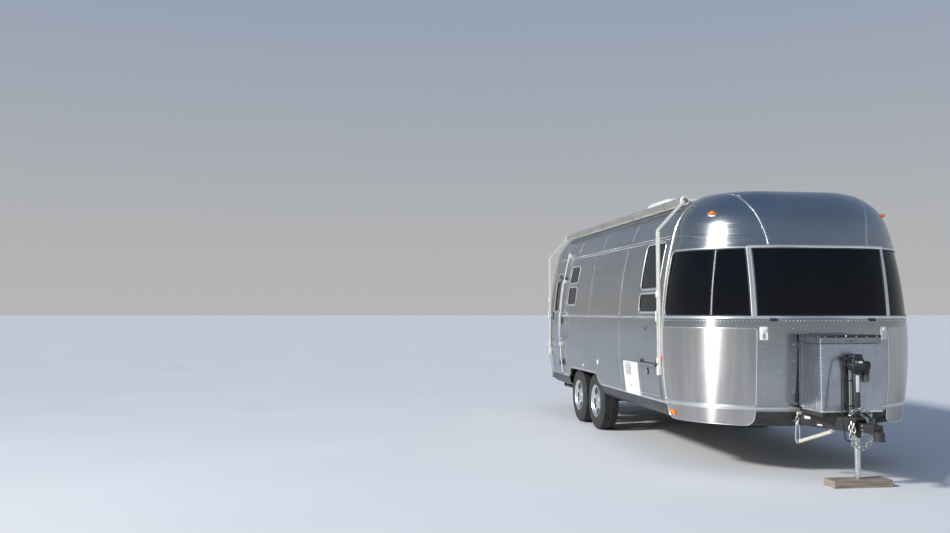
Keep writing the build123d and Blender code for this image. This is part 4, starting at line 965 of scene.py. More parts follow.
# Foot rails, ridges, joint strips and arch rims
foot_shape = [(-0.016, 0.0004), (-0.016, 0.007), (-0.012, 0.0115), (-0.006, 0.0115), (-0.003, 0.006),
              (0.003, 0.006), (0.006, 0.0115), (0.012, 0.0115), (0.016, 0.007), (0.016, 0.0004)]
rim_shape = [(0.0, 0.0004), (0.0, 0.009), (0.005, 0.0115), (0.018, 0.0075), (0.030, 0.003), (0.030, 0.0004)]
band_shape = [(-0.021, 0.0003), (-0.021, 0.0030), (0.017, 0.0030), (0.019, 0.0003)]
line_shape, belt_shape = half_round(0.011, 0.0034), half_round(0.012, 0.0034)
rail_rise = rise_at(0.623)
arch_out = 0.852
arch_stop = (arch_x - arch_out, arch_x + arch_out)
panel_stop = (0.775, 1.300)
door_stop = (-2.854, -2.246)
rail_stops = {"right": door_stop + arch_stop + panel_stop, "left": arch_stop}
belt_ends = {"right": door_stop[0], "left": front_joint - 0.002}
arch_line = [point for point in arch_hole() if point[1] >= 0.0][::-1]
for side, place in flanks:
    marks = (rear_joint + 0.001,) + rail_stops[side] + (front_joint - 0.001,)
    for number, (start, stop) in enumerate(zip(marks[::2], marks[1::2])):
        rail = ribbon("foot_rail_%s_%d" % (side, number + 1), [(start, rail_rise), (stop, rail_rise)],
                      foot_shape, place=place, gap=0.3)
        if side == "right" and number == 0:
            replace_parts(rail, "wall_trim")
    ribbon("belt_line_" + side, [(rear_joint + 0.002, belt_rise), (belt_ends[side], belt_rise)], belt_shape,
           place=place, gap=0.3)
    ribbon("arch_rim_" + side, arch_line, rim_shape, place=place, gap=0.03)
ribbon("belt_line_front", [(door_stop[1], belt_rise), (front_joint - 0.002, belt_rise)], belt_shape, gap=0.3)
for end, place in ends:
    start = front_joint + 0.021
    ribbon("ridge_" + end, wall_line((start, 0.641), (2 * nose_along - start, 0.641)),
           half_round(0.031, 0.0125), place=place)
for end, side, put in corners:
    name = "%s_%s" % (end, side)
    strip, band = [[(front_joint + off, 0.0), (front_joint + off, rise_middle)] for off in (0.010, 0.040)]
    ribbon("joint_strip_" + name, strip, half_round(0.019, 0.0075), place=put)
    ribbon("joint_band_" + name, band, band_shape, band_metal, place=put)
    ribbon("petal_line_" + name, seam_path, line_shape, place=put)

# Side windows: frames with a rubber inside each
for side, place, windows, holes in walls:
    for number, window in enumerate(windows):
        name = "%s_%d" % (side, number + 1)
        ribbon("side_frame_" + name, grown(window, 0.004), half_round(0.026, 0.0105), closed=True,
               place=place)
        ribbon("side_rubber_" + name, grown(window, -0.004), gasket_shape, black_plastic, True, place)

# Marker lamps high on the corners: (name, place along, height, half size, height of the dome, power)
lamp_along = front_joint + corner_scale * atan2(0.463, 0.609)
corner_lamps = (("base", 0.0, 2.524, (0.068, 0.030), 0.009, 0.3),
                ("", 0.010, 2.527, (0.052, 0.027), 0.036, 0.6), ("tail", -0.026, 2.528, (0.042, 0.018), 0.018,
                                                                 0.6))
for end, side, put in corners:
    lens = amber_lens if end == "front" else red_lens
    for part, off, z, half, height, power in corner_lamps:
        name = "_".join(word for word in ("corner_lamp", part, end, side) if word)
        bubble(name, lamp_along + off, rise_at(z), half, height, bright_trim if part == "base" else lens, put,
               power=power)

# Port, plate and lamp on the right wall, then latches and guard brackets on the front
port_rise = rise_at(1.371)
bubble("side_port_ring", 1.595, port_rise, (0.045, 0.042), 0.006, aluminium, power=0.25)
bubble("side_port", 1.595, port_rise, (0.038, 0.035), 0.010, grey_plastic, power=0.15)
bubble("side_port_cap", 1.595, port_rise, (0.026, 0.024), 0.014, black_plastic, power=0.2)
skin("wall_plate", wall_box(-0.356, -0.300, 0.875, 0.935, 0.008), thick=(0.0016, 0.008), gap=0.03,
     material=white_plastic)
bubble("arch_lamp", -1.079, rise_at(0.823), (0.018, 0.018), 0.012, white_plastic)
latch_y = {"right": 0.518, "left": 0.478}
bracket_along = along_at_y(0.613, rise_at(1.345))
# Plates about the bracket's middle: (name, half length, lower and upper height, corner, faces, gap, finish)
bracket_plates = (
    ("bracket", 0.038, 1.285, 1.410, 0.010, (0.002, 0.008), 0.03, white_plastic),
    ("hook", 0.020, 1.372, 1.402, 0.006, (0.007, 0.024), 0.02, white_plastic),
    ("catch", 0.012, 1.295, 1.350, 0.005, (0.007, 0.013), 0.02, zinc),
)
for side, put in flanks:
    along = along_at_y(latch_y[side], rise_at(1.475))
    skin("sill_latch_" + side, wall_box(along - 0.034, along + 0.034, 1.462, 1.486, 0.006),
         thick=(0.002, 0.016), gap=0.02, place=put, material=black_plastic)
    bubble("sill_latch_key_" + side, along, rise_at(1.474), (0.011, 0.009), 0.024, black_steel, put)
    for part, half, low, high, corner, thick, gap, material in bracket_plates:
        outline = wall_box(bracket_along - half, bracket_along + half, low, high, corner)
        skin("guard_%s_%s" % (part, side), outline, thick=thick, gap=gap, place=put, material=material)


# Utility panels: white door with its grille beside the hatch, vents and inlets on the left wall
def framed_panel(name, x0, x1, z0, z1, place, material=white_plastic):
    """Raised door with a rolled edge."""
    made = skin(name, wall_box(x0, x1, z0, z1, 0.014), thick=(0.0015, 0.009), place=place, material=material,
                gap=0.06)
    rim = wall_box(x0 + 0.007, x1 - 0.007, z0 + 0.007, z1 - 0.007, 0.014)
    ribbon(name + "_rim", rim, half_round(0.012, 0.005), material, True, place, lift=0.009 - 0.001)
    return made


def louvres(name, x0, x1, z0, z1, place, rows):
    """Sloping slats in a dark recess plate."""
    base = 0.010
    skin(name + "_plate", wall_box(x0, x1, z0, z1, 0.006), thick=(base - 0.001, base + 0.001), place=place,
         material=grey_plastic)
    pitch = (z1 - z0) / rows
    slat = [(-0.35 * pitch, 0.0), (-0.35 * pitch, 0.0015), (0.30 * pitch, 0.008), (0.30 * pitch, 0.0)]
    for row in range(rows):
        z = z0 + pitch * (row + 0.5)
        ribbon("%s_slat_%d" % (name, row + 1), wall_line((x0 + 0.006, z), (x1 - 0.006, z)), slat,
               white_plastic, place=place, lift=base + 0.0005, gap=0.3)


def key_latch(name, x, z, place):
    base, rise = 0.0092, rise_at(z)
    bubble(name, x, rise, (0.013, 0.013), 0.007, zinc, place, lift=base, power=0.25, sides=18)
    ribbon(name + "_slot", [(x, rise - 0.006), (x, rise + 0.006)], half_round(0.003, 0.0015), black_plastic,
           place=place, lift=base + 0.0068)


service = framed_panel("service_door", 0.785, 1.290, 0.612, 0.985, keep)
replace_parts(service, "utility_panels")
louvres("service_grille", 0.858, 1.040, 0.830, 0.968, keep, 7)
ribbon("service_bead", wall_line((1.205, 0.63), (1.205, 0.97)), half_round(0.010, 0.004), white_plastic,
       lift=0.0088)
key_latch("service_latch", 1.02, 0.720, keep)
framed_panel("heater_door", 0.640, 1.020, 0.650, 1.020, to_left)
louvres("heater_grille", 0.70, 0.96, 0.80, 0.98, to_left, 8)
framed_panel("fridge_vent", -1.900, -1.480, 0.900, 1.300, to_left)
louvres("fridge_grille", -1.875, -1.505, 0.925, 1.275, to_left, 12)
framed_panel("locker_door", 1.385, 1.965, 0.650, 0.985, to_left, aluminium)
for number, x in enumerate((1.48, 1.87)):
    key_latch("locker_latch_%d" % (number + 1), x, 0.92, to_left)
inlet_z = 0.80
inlet_parts = (("", 0.0, 0.012, (0.0016, 0.011)), ("_flap", 0.014, 0.01, (0.010, 0.019)))
for number, (x, wide, tall) in enumerate(((0.20, 0.075, 0.060), (-2.35, 0.055, 0.055),
                                          (-2.60, 0.055, 0.055))):
    for part, inset, corner, thick in inlet_parts:
        outline = wall_box(
            x - wide + inset, x + wide - inset, inlet_z - tall + inset, inlet_z + tall - inset, corner)
        skin("inlet%s_%d" % (part, number + 1), outline, thick=thick, place=to_left, material=white_plastic)

# Access hatch and entry door: sheet faces with beads, latches and a handle
face_thick = (0.0052, 0.0064)
hatch_face = wall_box(hatch_rear - 0.012, hatch_front + 0.012, hatch_low - 0.012, hatch_high - 0.001, 0.028)
skin("hatch_sheet", hatch_face, thick=face_thick, rides="hatch", gap=0.06)
hatch_line = wall_box(hatch_rear + 0.02, hatch_front - 0.02, hatch_low + 0.02, hatch_high - 0.03, 0.02)
ribbon("hatch_bead", hatch_line, half_round(0.012, 0.0045), aluminium, True, rides="hatch", lift=0.0060)
skin("hatch_latch", wall_box(1.590, 1.640, 0.880, 0.945, 0.012), thick=(0.006, 0.014), rides="hatch",
     material=black_plastic, gap=0.03)
ribbon("hatch_latch_lever", wall_line((1.615, 0.890), (1.615, 0.935)), half_round(0.016, 0.008), zinc,
       rides="hatch", lift=0.0138)
door_face = wall_box(-2.842, -2.274, 0.628, 2.342, 0.088)
door_window_hole = wall_box(-2.680, -2.400, 1.560, 2.120, 0.09)
skin("door_sheet", door_face, [door_window_hole], face_thick, rides="door", gap=0.06)
ribbon("door_window_frame", wall_box(-2.692, -2.388, 1.548, 2.132, 0.10), half_round(0.026, 0.008),
       closed=True, rides="door", lift=0.0058)
ribbon("door_window_rubber", wall_box(-2.676, -2.404, 1.564, 2.116, 0.086), gasket_shape, black_plastic, True,
       rides="door", lift=0.003)
for number, (low, high) in enumerate(((0.72, 1.02), (1.10, 1.42))):
    ribbon("door_bead_%d" % (number + 1), wall_box(-2.77, -2.34, low, high, 0.05), half_round(0.012, 0.004),
           aluminium, True, rides="door", lift=0.0060)
skin("door_lock_plate", wall_box(-2.812, -2.730, 1.432, 1.545, 0.014), thick=(0.006, 0.012), rides="door",
     material=black_plastic, gap=0.03)
ribbon("door_handle", wall_line((-2.800, 1.505), (-2.742, 1.505)), half_round(0.024, 0.020), rides="door",
       lift=0.0115)
bubble("door_lock", -2.771, rise_at(1.455), (0.011, 0.011), 0.006, zinc, rides="door", power=0.25,
       lift=0.0118)
# Rivet lines of each leaf, from end to end: (X, height, X, height)
leaf_rivets = {
    "door": ((-2.832, 0.70, -2.832, 2.27), (-2.284, 0.70, -2.284, 2.27), (-2.77, 0.640, -2.35, 0.640),
             (-2.77, 2.330, -2.35, 2.330), (-2.80, 1.06, -2.31, 1.06)),
    "hatch": ((1.39, 0.668, 1.96, 0.668), (1.39, 0.968, 1.96, 0.968), (1.386, 0.69, 1.386, 0.95),
              (1.964, 0.69, 1.964, 0.95)),
}
for leaf, lines in leaf_rivets.items():
    studs = Studs()
    for x0, z0, x1, z1 in lines:
        studs.line(wall_line((x0, z0), (x1, z1)), 0.05, keep, face_thick[1])
    studs.make("rivets_" + leaf, rides=leaf)

# Grab rail and the stay pole in front of the door: (height, distance off the wall)
grab_x = -2.130
grab_bends = ((1.16, 0.004), (1.16, 0.050), (1.20, 0.062), (1.35, 0.062), (1.50, 0.062), (1.54, 0.050),
              (1.54, 0.004))
bar("grab_rail", [shell(grab_x, rise_at(z), out) for z, out in grab_bends], disc(0.011), bright_trim,
    up=(1, 0, 0))
pole_x, pole_out = -2.190, 0.034
pole_heights = (0.66, 0.90, 1.20, 1.50, 1.80, 2.05, 2.25, 2.42)
bar("stay_pole", [shell(pole_x, rise_at(z), pole_out) for z in pole_heights], disc(0.0095), cream_paint,
    up=(1, 0, 0))
for number, z in enumerate((1.08, 2.00, 2.38)):
    clamp = wall_box(pole_x - 0.015, pole_x + 0.015, z - 0.024, z + 0.024, 0.006)
    skin("pole_clamp_%d" % (number + 1), clamp, thick=(0.0016, 0.048), material=white_plastic, gap=0.02)

# Awning: cover, rolled canvas, end caps, folding arms
roll_turn = radians(50.9)
roll_reach = 0.592
roll_y = -(shoulder[0] + roll_reach * cos(roll_turn))
roll_z = shoulder[1] + roll_reach * sin(roll_turn)
roll_from, roll_to = -2.878, 2.020


def roll_section(radius, start, stop, sides, pinch=0.0):
    angles = [start + (stop - start) * i / sides for i in range(sides + 1)]
    return [(-(radius + pinch * sin(3 * a)) * cos(a), (radius + pinch * sin(3 * a)) * sin(a)) for a in angles]


def wrap_section(inner, outer, start, stop):
    """Thin sheet that wraps part of the roll, between two angles in degrees."""
    arcs = [roll_section(radius, radians(start), radians(stop), 20) for radius in (outer, inner)]
    return arcs[0] + arcs[1][::-1]


def along_roll(name, outline, material, x0=roll_from, x1=roll_to):
    """A section in (outward, up) about the roll's axis, carried along it."""
    points = [(x, roll_y + a, roll_z + b) for x in (x0, x1) for a, b in outline]
    return piece(name, points, tube_faces(2, len(outline)), material)


roll = along_roll("awning_roll_canvas", roll_section(0.0385, 0, tau, 30, 0.0012)[:-1], canvas)
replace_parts(roll, "awning_roll")
along_roll("awning_cover", wrap_section(0.0405, 0.0440, -28, 168), awning_sheet, roll_from + 0.006,
           roll_to - 0.006)
hem = [(-0.021, -0.046), (-0.013, -0.049), (-0.010, -0.041), (-0.018, -0.037)]
along_roll("awning_lead_bar", hem, cream_paint, roll_from + 0.004, roll_to - 0.004)
piping = [(-0.0405, -0.030), (-0.0435, -0.0245), (-0.0405, -0.0235), (-0.0375, -0.029)]
along_roll("awning_piping", piping, amber_piping, roll_from + 0.01, roll_to - 0.01)
for number, x in enumerate((-2.2, -0.9, 0.4, 1.5)):
    along_roll("awning_strap_%d" % (number + 1), wrap_section(0.0442, 0.0456, -70, 178), grey_plastic,
               x - 0.02, x + 0.02)
rail_turn = radians(56)
rail_reach = 0.5215
rail_y, rail_z = -(shoulder[0] + rail_reach * cos(rail_turn)), shoulder[1] + rail_reach * sin(rail_turn)
for name, inset, outline, material in (
    ("awning_wall_rail", 0.0, [(-0.012, -0.004), (0.012, -0.004), (0.012, 0.006), (-0.012, 0.006)],
     cream_paint),
    ("awning_flap", 0.02, [(-0.002, 0.004), (0.002, 0.004), (0.010, 0.046), (0.006, 0.047)], canvas),
):
    bar(name, [(roll_from + inset, rail_y, rail_z), (roll_to - inset, rail_y, rail_z)], outline, material)
arm_y, brace_y = -1.3035, -1.301
arm_foot, arm_bend = 0.900, 2.400
channel = [(-0.022, -0.012), (0.022, -0.012), (0.022, 0.010), (0.017, 0.010), (0.017, -0.007),
           (-0.017, -0.007), (-0.017, 0.010), (-0.022, 0.010)]
slim = round_box((-0.009, -0.007), (0.009, 0.007), 0.003, 2)
# Fittings on an arm: (name, half width, outer and inner Y, lower and upper height, finish, edge)
arm_fittings = (
    ("knuckle", 0.028, -1.322, -1.286, 1.020, 1.075, cream_paint, 0.007),
    ("catch", 0.027, -1.324, -1.288, 1.700, 1.770, white_plastic, 0.007),
    ("grip", 0.012, -1.334, -1.312, 1.450, 1.560, white_plastic, 0.006),
)
cap_profile = [(0.0, 0.0), (0.0, 0.046), (0.010, 0.050), (0.034, 0.050), (0.044, 0.044), (0.044, 0.030),
               (0.038, 0.027), (0.038, 0.0)]
for end, x, toward, cap_from in (("front", 2.0423, 1, roll_to), ("rear", -2.9003, -1, roll_from)):
    line = [(x, arm_y, arm_foot), (x, arm_y, arm_bend - 0.012), (x, -1.296, arm_bend + 0.010),
            (x, roll_y - 0.014, roll_z - 0.004)]
    arm = bar("awning_arm_" + end, line, channel, cream_paint, up=(0, -1, 0.25))
    if end == "front":
        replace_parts(arm, "awning_arms")
    second = x + toward * 0.038
    bar("awning_brace_" + end, [(second, brace_y, 0.985), (second, brace_y, 2.372)], slim, cream_paint,
        up=(1, 0, 0))
    foot_y = shell(x, rise_at(0.945)).y - 0.0006
    slab("awning_foot_" + end, (x - 0.026, -1.320, 0.895), (x + 0.026, foot_y, 0.990), cream_paint, 0.008)
    for part, half, outer, inner, low, high, material, edge in arm_fittings:
        slab("awning_%s_%s" % (part, end), (x - half, outer, low), (x + half, inner, high), material, edge)
    turned("awning_brace_top_" + end, (second, brace_y, 2.366), (0, 0, 1),
           [(0.0, 0.0), (0.0, 0.011), (0.010, 0.011), (0.014, 0.008), (0.016, 0.0)], cream_paint, sides=16)
    turned("awning_cap_" + end, (cap_from - toward * 0.004, roll_y, roll_z), (toward, 0, 0), cap_profile,
           cream_paint)
    turned("awning_hub_" + end, (cap_from + toward * 0.030, roll_y, roll_z), (toward, 0, 0),
           [(0.0, 0.0), (0.0, 0.024), (0.012, 0.022), (0.016, 0.014), (0.017, 0.0)], hub_brown, sides=24)

# Wheels: dished spokes, rim, cap and nuts; tyres with grooves and blocks
hub_xs = {"front": -0.678, "rear": -1.542}
hub_z = 0.3715
tyre_middle = 1.0995
rim_lip = 0.107
spoke_total = 5
nut_total = 6
dish = ((0.0, 0.076), (0.064, 0.076), (0.075, 0.082), (0.120, 0.066), (0.170, 0.072), (0.197, 0.092))
spoke_gap = [(0.090, -0.038), (0.143, -0.082), (0.177, -0.050), (0.181, 0.0), (0.177, 0.050), (0.143, 0.082),
             (0.090, 0.038)]
# Turned parts of a wheel about its axle: (name, profile, finish, sides, slot where it isn't the finish's own)
wheel_parts = (
    ("rim", [(-rim_lip, 0.192), (-rim_lip, 0.211), (-0.101, 0.2125), (-0.096, 0.204), (-0.030, 0.201),
             (0.094, 0.204), (0.100, 0.2125), (rim_lip, 0.211), (0.1075, 0.205), (0.101, 0.199),
             (0.090, 0.196), (0.060, 0.192), (0.0, 0.187), (-0.060, 0.188), (-rim_lip, 0.192)], alloy, 72,
             None),
    ("drum", [(-0.095, 0.0), (-0.095, 0.145), (-0.088, 0.150), (0.010, 0.150), (0.016, 0.142), (0.018, 0.0)],
     drum_iron, 48, None),
    ("cap", [(0.060, 0.0), (0.060, 0.038), (0.080, 0.0375), (0.085, 0.034), (0.087, 0.026), (0.0875, 0.0)],
     alloy, 36, None),
    ("cap_disc", [(0.080, 0.0), (0.080, 0.024), (0.0885, 0.023), (0.0895, 0.018), (0.0895, 0.0)],
     grey_plastic, 36, "alloy_wheel"),
)


def eased(table, value):
    """Value read from a table of pairs, with soft turns at its entries."""
    for (x0, y0), (x1, y1) in zip(table, table[1:]):
        if value <= x1:
            share = (value - x0) / (x1 - x0)
            return y0 + (y1 - y0) * share * share * (3 - 2 * share)
    return table[-1][1]


def rounded(loop, share=0.4, steps=4):
    """The loop with each corner drawn as a curve between points on its two sides."""
    points = []
    for i, corner in enumerate(loop):
        before, after = loop[i - 1], loop[(i + 1) % len(loop)]
        start = [c + (b - c) * share for c, b in zip(corner, before)]
        stop = [c + (a - c) * share for c, a in zip(corner, after)]
        for t in [step / steps for step in range(steps + 1)]:
            points.append(tuple(
                (1 - t) ** 2 * p + 2 * t * (1 - t) * c + t * t * q for p, c, q in zip(start, corner, stop)))
    return points


def turned_loop(loop, angle):
    return [(x * cos(angle) - y * sin(angle), x * sin(angle) + y * cos(angle)) for x, y in loop]


def make_wheel(name, centre, out):
    across = Vector((-out.y, 0, 0))

    def face(u, v, lift=0.0):
        return centre + across * u + Vector((0, 0, v)) + out * (eased(dish, hypot(u, v)) + lift)

    turns = [tau * (i + 0.5) / spoke_total + pi / 2 for i in range(spoke_total)]
    gaps = [turned_loop(rounded(spoke_gap), turn) for turn in turns]
    spokes = skin(name + "_spokes", disc(0.1975, 60), gaps, thick=(-0.024, 0.0), gap=0.012, rides=name,
                  material=alloy, surface=face)
    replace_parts(spokes, name)
    for part, profile, material, sides, slot in wheel_parts:
        turned("%s_%s" % (name, part), centre, out, profile, material, name, sides)
    nuts = Studs()
    for i in range(nut_total):
        angle = tau * i / nut_total
        nuts.add(face(0.055 * cos(angle), 0.055 * sin(angle), -0.003), out, 0.010, 0.017, 6)
    nuts.make(name + "_nuts", bright_trim, name, "alloy_wheel")
    turned(name + "_valve", face(0.0, -0.186), out,
           [(-0.006, 0.0), (-0.006, 0.0045), (0.018, 0.004), (0.022, 0.003), (0.022, 0.0)], black_plastic,
           name, 12)


# Half of the tyre's section from the bead to its middle: (along the axle, radius, depth of the cuts)
tyre_section = [
    (0.086, 0.203, 0), (0.098, 0.2085, 0), (0.1035, 0.222, 0), (0.1085, 0.246, 0), (0.1095, 0.2545, 0),
    (0.1115, 0.257, 0), (0.1124, 0.275, 0), (0.1124, 0.300, 0), (0.1118, 0.314, 0), (0.1095, 0.3165, 0),
    (0.1080, 0.3300, 0), (0.1025, 0.3450, 0), (0.0985, 0.3525, 0.002), (0.0925, 0.3615, 0.006),
    (0.0850, 0.3695, 0.007), (0.0640, 0.3712, 0.007), (0.0620, 0.3710, 0), (0.0605, 0.3640, 0),
    (0.0545, 0.3640, 0), (0.0530, 0.3714, 0), (0.0520, 0.3715, 0.005), (0.0290, 0.3715, 0.005),
    (0.0280, 0.3714, 0), (0.0260, 0.3640, 0), (0.0200, 0.3640, 0), (0.0185, 0.3714, 0), (0.0160, 0.3715, 0.0),
]
tread_pitches = 66
cut_steps = ((0.0, 0), (0.05, 1), (0.15, 1), (0.20, 0), (0.60, 0))


def make_tyre(name, centre, out, wheel):
    """Tyre with four grooves and slanting cuts between its tread blocks."""
    profile = tyre_section + [(-along, radius, cut) for along, radius, cut in reversed(tyre_section)]
    side = out.orthogonal().normalized()
    other = out.cross(side)
    points = []
    for pitch in range(tread_pitches):
        for share, deep in cut_steps:
            for along, radius, cut in profile:
                slant = 0.35 * along / 0.11 if radius > 0.35 else 0.0
                angle = tau * (pitch + share + slant) / tread_pitches
                direction = side * cos(angle) + other * sin(angle)
                points.append(centre + out * along + direction * (radius - cut * deep))
    faces = tube_faces(tread_pitches * len(cut_steps), len(profile), True)
    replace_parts(piece(name + "_rubber", points, faces, tyre_black, wheel), name)


for axle, hub_x in hub_xs.items():
    for side, sign in signs:
        wheel_name = "wheel_%s_%s" % (axle, side)
        hub, out = Vector((hub_x, sign * tyre_middle, hub_z)), Vector((0, sign, 0))
        make_wheel(wheel_name, hub, out)
        make_tyre("tyre_%s_%s" % (axle, side), hub, out, wheel_name)

# Tongue jack: tube, collar, head, motor, rods, label, leg
upward = (0, 0, 1)
jack_x = 3.539
tube = turned("jack_tube", (jack_x, 0, 0.430), upward,
              [(0.0, 0.0262), (0.0, 0.0345), (0.002, 0.035), (0.590, 0.035), (0.590, 0.0262), (0.0, 0.0262)],
              jack_grey)
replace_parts(tube, "jack_housing")
turned("jack_collar", (jack_x, 0, 0.617), upward,
       [(0.0, 0.0265), (0.0, 0.055), (0.004, 0.056), (0.010, 0.056), (0.012, 0.044), (0.020, 0.038),
        (0.020, 0.0265), (0.0, 0.0265)], black_steel)
for i in range(3):
    angle = tau * i / 3 + 0.5
    turned("jack_bolt_%d" % (i + 1), (jack_x + 0.049 * cos(angle), 0.049 * sin(angle), 0.627), upward,
           [(0.0, 0.0), (0.0, 0.006), (0.006, 0.006), (0.007, 0.0)], zinc, sides=6)
# Slabs of the jack: (name, lowest and highest corner from the jack's axis, finish, edge, steps)
for part, (x0, y0, z0), (x1, y1, z1), material, edge, steps in (
    ("neck", (-0.044, -0.044, 1.004), (0.042, 0.050, 1.040), black_plastic, 0.014, 4),
    ("head", (-0.057, -0.058, 1.025), (0.058, 0.060, 1.140), black_plastic, 0.024, 5),
    ("head_top", (-0.048, -0.048, 1.120), (0.049, 0.050, 1.172), black_plastic, 0.019, 5),
    ("head_seam", (-0.0585, -0.0592, 1.076), (0.0592, 0.0612, 1.079), grey_plastic, 0.001, 1),
    ("badge", (0.0568, -0.006, 1.094), (0.0592, 0.034, 1.112), white_plastic, 0.001, 3),
    ("switch", (0.055, -0.036, 1.092), (0.061, -0.018, 1.118), grey_plastic, 0.002, 3),
    ("gear_case", (-0.040, 0.030, 1.028), (0.040, 0.131, 1.110), black_plastic, 0.022, 5),
    ("label", (0.0325, -0.020, 0.835), (0.0356, 0.012, 0.985), white_plastic, 0.001, 3),
    ("rod_clip_1", (-0.012, -0.072, 0.705), (0.012, -0.033, 0.717), black_plastic, 0.003, 3),
    ("rod_clip_2", (-0.012, -0.072, 0.930), (0.012, -0.033, 0.942), black_plastic, 0.003, 3),
):
    slab("jack_" + part, (jack_x + x0, y0, z0), (jack_x + x1, y1, z1), material, edge, steps=steps)
turned("jack_motor", (jack_x, 0.092, 0.920), upward,
       [(0.0, 0.0), (0.0, 0.022), (0.005, 0.029), (0.070, 0.031), (0.076, 0.0355), (0.120, 0.036),
        (0.132, 0.032), (0.132, 0.0)], black_plastic)
for i in range(6):
    turned("jack_motor_fin_%d" % (i + 1), (jack_x, 0.092, 0.928 + 0.010 * i), upward,
           [(0.0, 0.0), (0.0, 0.0355), (0.004, 0.0355), (0.004, 0.0)], grey_plastic, sides=28)
for number, y in enumerate((-0.048, -0.064)):
    rod = [(jack_x, y, 1.030), (jack_x, y, 0.660), (jack_x - 0.010, y * 0.9, 0.620)]
    bar("jack_rod_%d" % (number + 1), rod, disc(0.005, 10), zinc, up=(1, 0, 0))
leg = turned("jack_inner_leg", (jack_x, 0, 0.0652), upward,
             [(0.0, 0.0), (0.0, 0.0253), (0.118, 0.0253), (0.119, 0.0243), (0.122, 0.0243), (0.123, 0.0253),
              (0.634, 0.0253), (0.6345, 0.0)], leg_silver, "jack_leg")
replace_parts(leg, "jack_leg")

# Power cord from the jack's plug down to the gland behind the coupler
cord_route = [
    (3.545, -0.089, 1.128), (3.545, -0.115, 1.128), (3.549, -0.136, 1.114), (3.555, -0.146, 1.086),
    (3.563, -0.152, 1.040), (3.574, -0.161, 0.970), (3.586, -0.169, 0.880), (3.598, -0.177, 0.780),
    (3.607, -0.182, 0.690), (3.612, -0.180, 0.610), (3.612, -0.172, 0.540), (3.608, -0.160, 0.480),
    (3.604, -0.152, 0.438), (3.600, -0.136, 0.415), (3.597, -0.110, 0.406), (3.595, -0.083, 0.415),
    (3.594, -0.065, 0.440), (3.594, -0.065, 0.470),
]
cord_curve = bpy.data.curves.new("power_cord", "CURVE")
cord_curve.dimensions = "3D"
cord_curve.bevel_depth = 0.006
cord_curve.bevel_resolution = 4
cord_curve.resolution_u = 16
spline = cord_curve.splines.new("NURBS")
spline.points.add(len(cord_route) - 1)
for point, spot in zip(spline.points, cord_route):
    point.co = (*spot, 1.0)
spline.order_u = 3
spline.use_endpoint_u = True
cord_curve.materials.append(cable_black)
power_cord = placed("power_cord", cord_curve)
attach(power_cord, body)
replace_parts(power_cord, "trailer_cord")
turned("plug_relief", (3.545, -0.087, 1.128), (0, -1, 0),
       [(0.0, 0.0), (0.0, 0.013), (0.008, 0.0115), (0.011, 0.0095), (0.015, 0.0105), (0.024, 0.0072),
        (0.024, 0.0)],
       cable_black, sides=20)
turned("gland_relief", (3.594, -0.065, 0.472), (0, 0, -1),
       [(0.0, 0.0), (0.0, 0.012), (0.006, 0.0105), (0.009, 0.009), (0.013, 0.0095), (0.022, 0.0070),
        (0.022, 0.0)],
       cable_black, sides=20)

# Coupler: rim, crown, latch, lever and bolts
for number, (x, z) in enumerate(((3.62, 0.518), (3.70, 0.518), (3.62, 0.554), (3.70, 0.554))):
    for side, sign in signs:
        turned("coupler_bolt_%s_%d" % (side, number + 1), (x, sign * 0.0435, z), (0, sign, 0),
               [(0.0, 0.0), (0.0, 0.011), (0.007, 0.011), (0.009, 0.009), (0.009, 0.0)], zinc, sides=6)
turned("coupler_rim", (3.880, 0, 0.440), upward,
       [(0.0, 0.031), (0.0, 0.0475), (0.004, 0.0485), (0.010, 0.0485), (0.013, 0.0462), (0.013, 0.031),
        (0.0, 0.031)],
       black_steel)
turned("coupler_crown", (3.880, 0, 0.508), upward,
       [(0.0, 0.0), (0.0, 0.0464), (0.006, 0.044), (0.013, 0.035), (0.018, 0.020), (0.020, 0.0)], black_steel)
slab("coupler_latch", (3.735, -0.015, 0.568), (3.838, 0.015, 0.600), black_steel, 0.008, steps=4)
bar("coupler_lever", [(3.722, 0, 0.584), (3.700, 0, 0.618), (3.640, 0, 0.632), (3.598, 0, 0.650)],
    round_box((-0.013, -0.0035), (0.013, 0.0035), 0.003, 2), zinc)
turned("coupler_pin", (3.775, -0.038, 0.590), (0, 1, 0), [(0.0, 0.0), (0.0, 0.0048), (0.076, 0.0048), (0.076,
                                                                                                       0.0)],
       zinc, sides=14)

# Tongue beams: blank label and sticker, bracket bolts
beam_spread = 0.493 / 1.5        # sideways travel of a beam for each metre along
beam_turn = atan2(0.493, 1.5)


def on_beam(x, z, out=0.0, side=-1):
    """Point on the outer face of a tongue beam."""
    y = 0.052 + (3.640 - x) * beam_spread + 0.030 / cos(beam_turn)
    return Vector((x + sin(beam_turn) * out, side * (y + cos(beam_turn) * out), z))


for name, x, z, wide, tall, material in (("beam_label", 3.130, 0.566, 0.036, 0.013, white_plastic),
                                         ("beam_sticker", 3.270, 0.512, 0.030, 0.007, cream_paint)):
    middle, half = on_beam(x, z, 0.0006), Vector((wide, 0.0012, tall))
    slab(name, middle - half, middle + half, material, 0.0008, steps=1,
         turn=Matrix.Rotation(beam_turn, 3, "Z"))
for side, sign in signs:
    for number, (x, z) in enumerate(((2.985, 0.575), (3.035, 0.575), (2.985, 0.520), (3.035, 0.520))):
        turned("bracket_bolt_%s_%d" % (side, number + 1), on_beam(x, z, 0.009, sign),
               (sin(beam_turn), sign * cos(beam_turn), 0),
               [(0.0, 0.0), (0.0, 0.009), (0.006, 0.009), (0.008, 0.007), (0.008, 0.0)], zinc, sides=6)

# Gas cover: bead and edge of the lid, foot moulding, rivets, returns behind the sides and a lifting lip
cover_rear, cover_front, cover_half = 3.082, 3.474, 0.298
edge_height = 1.329


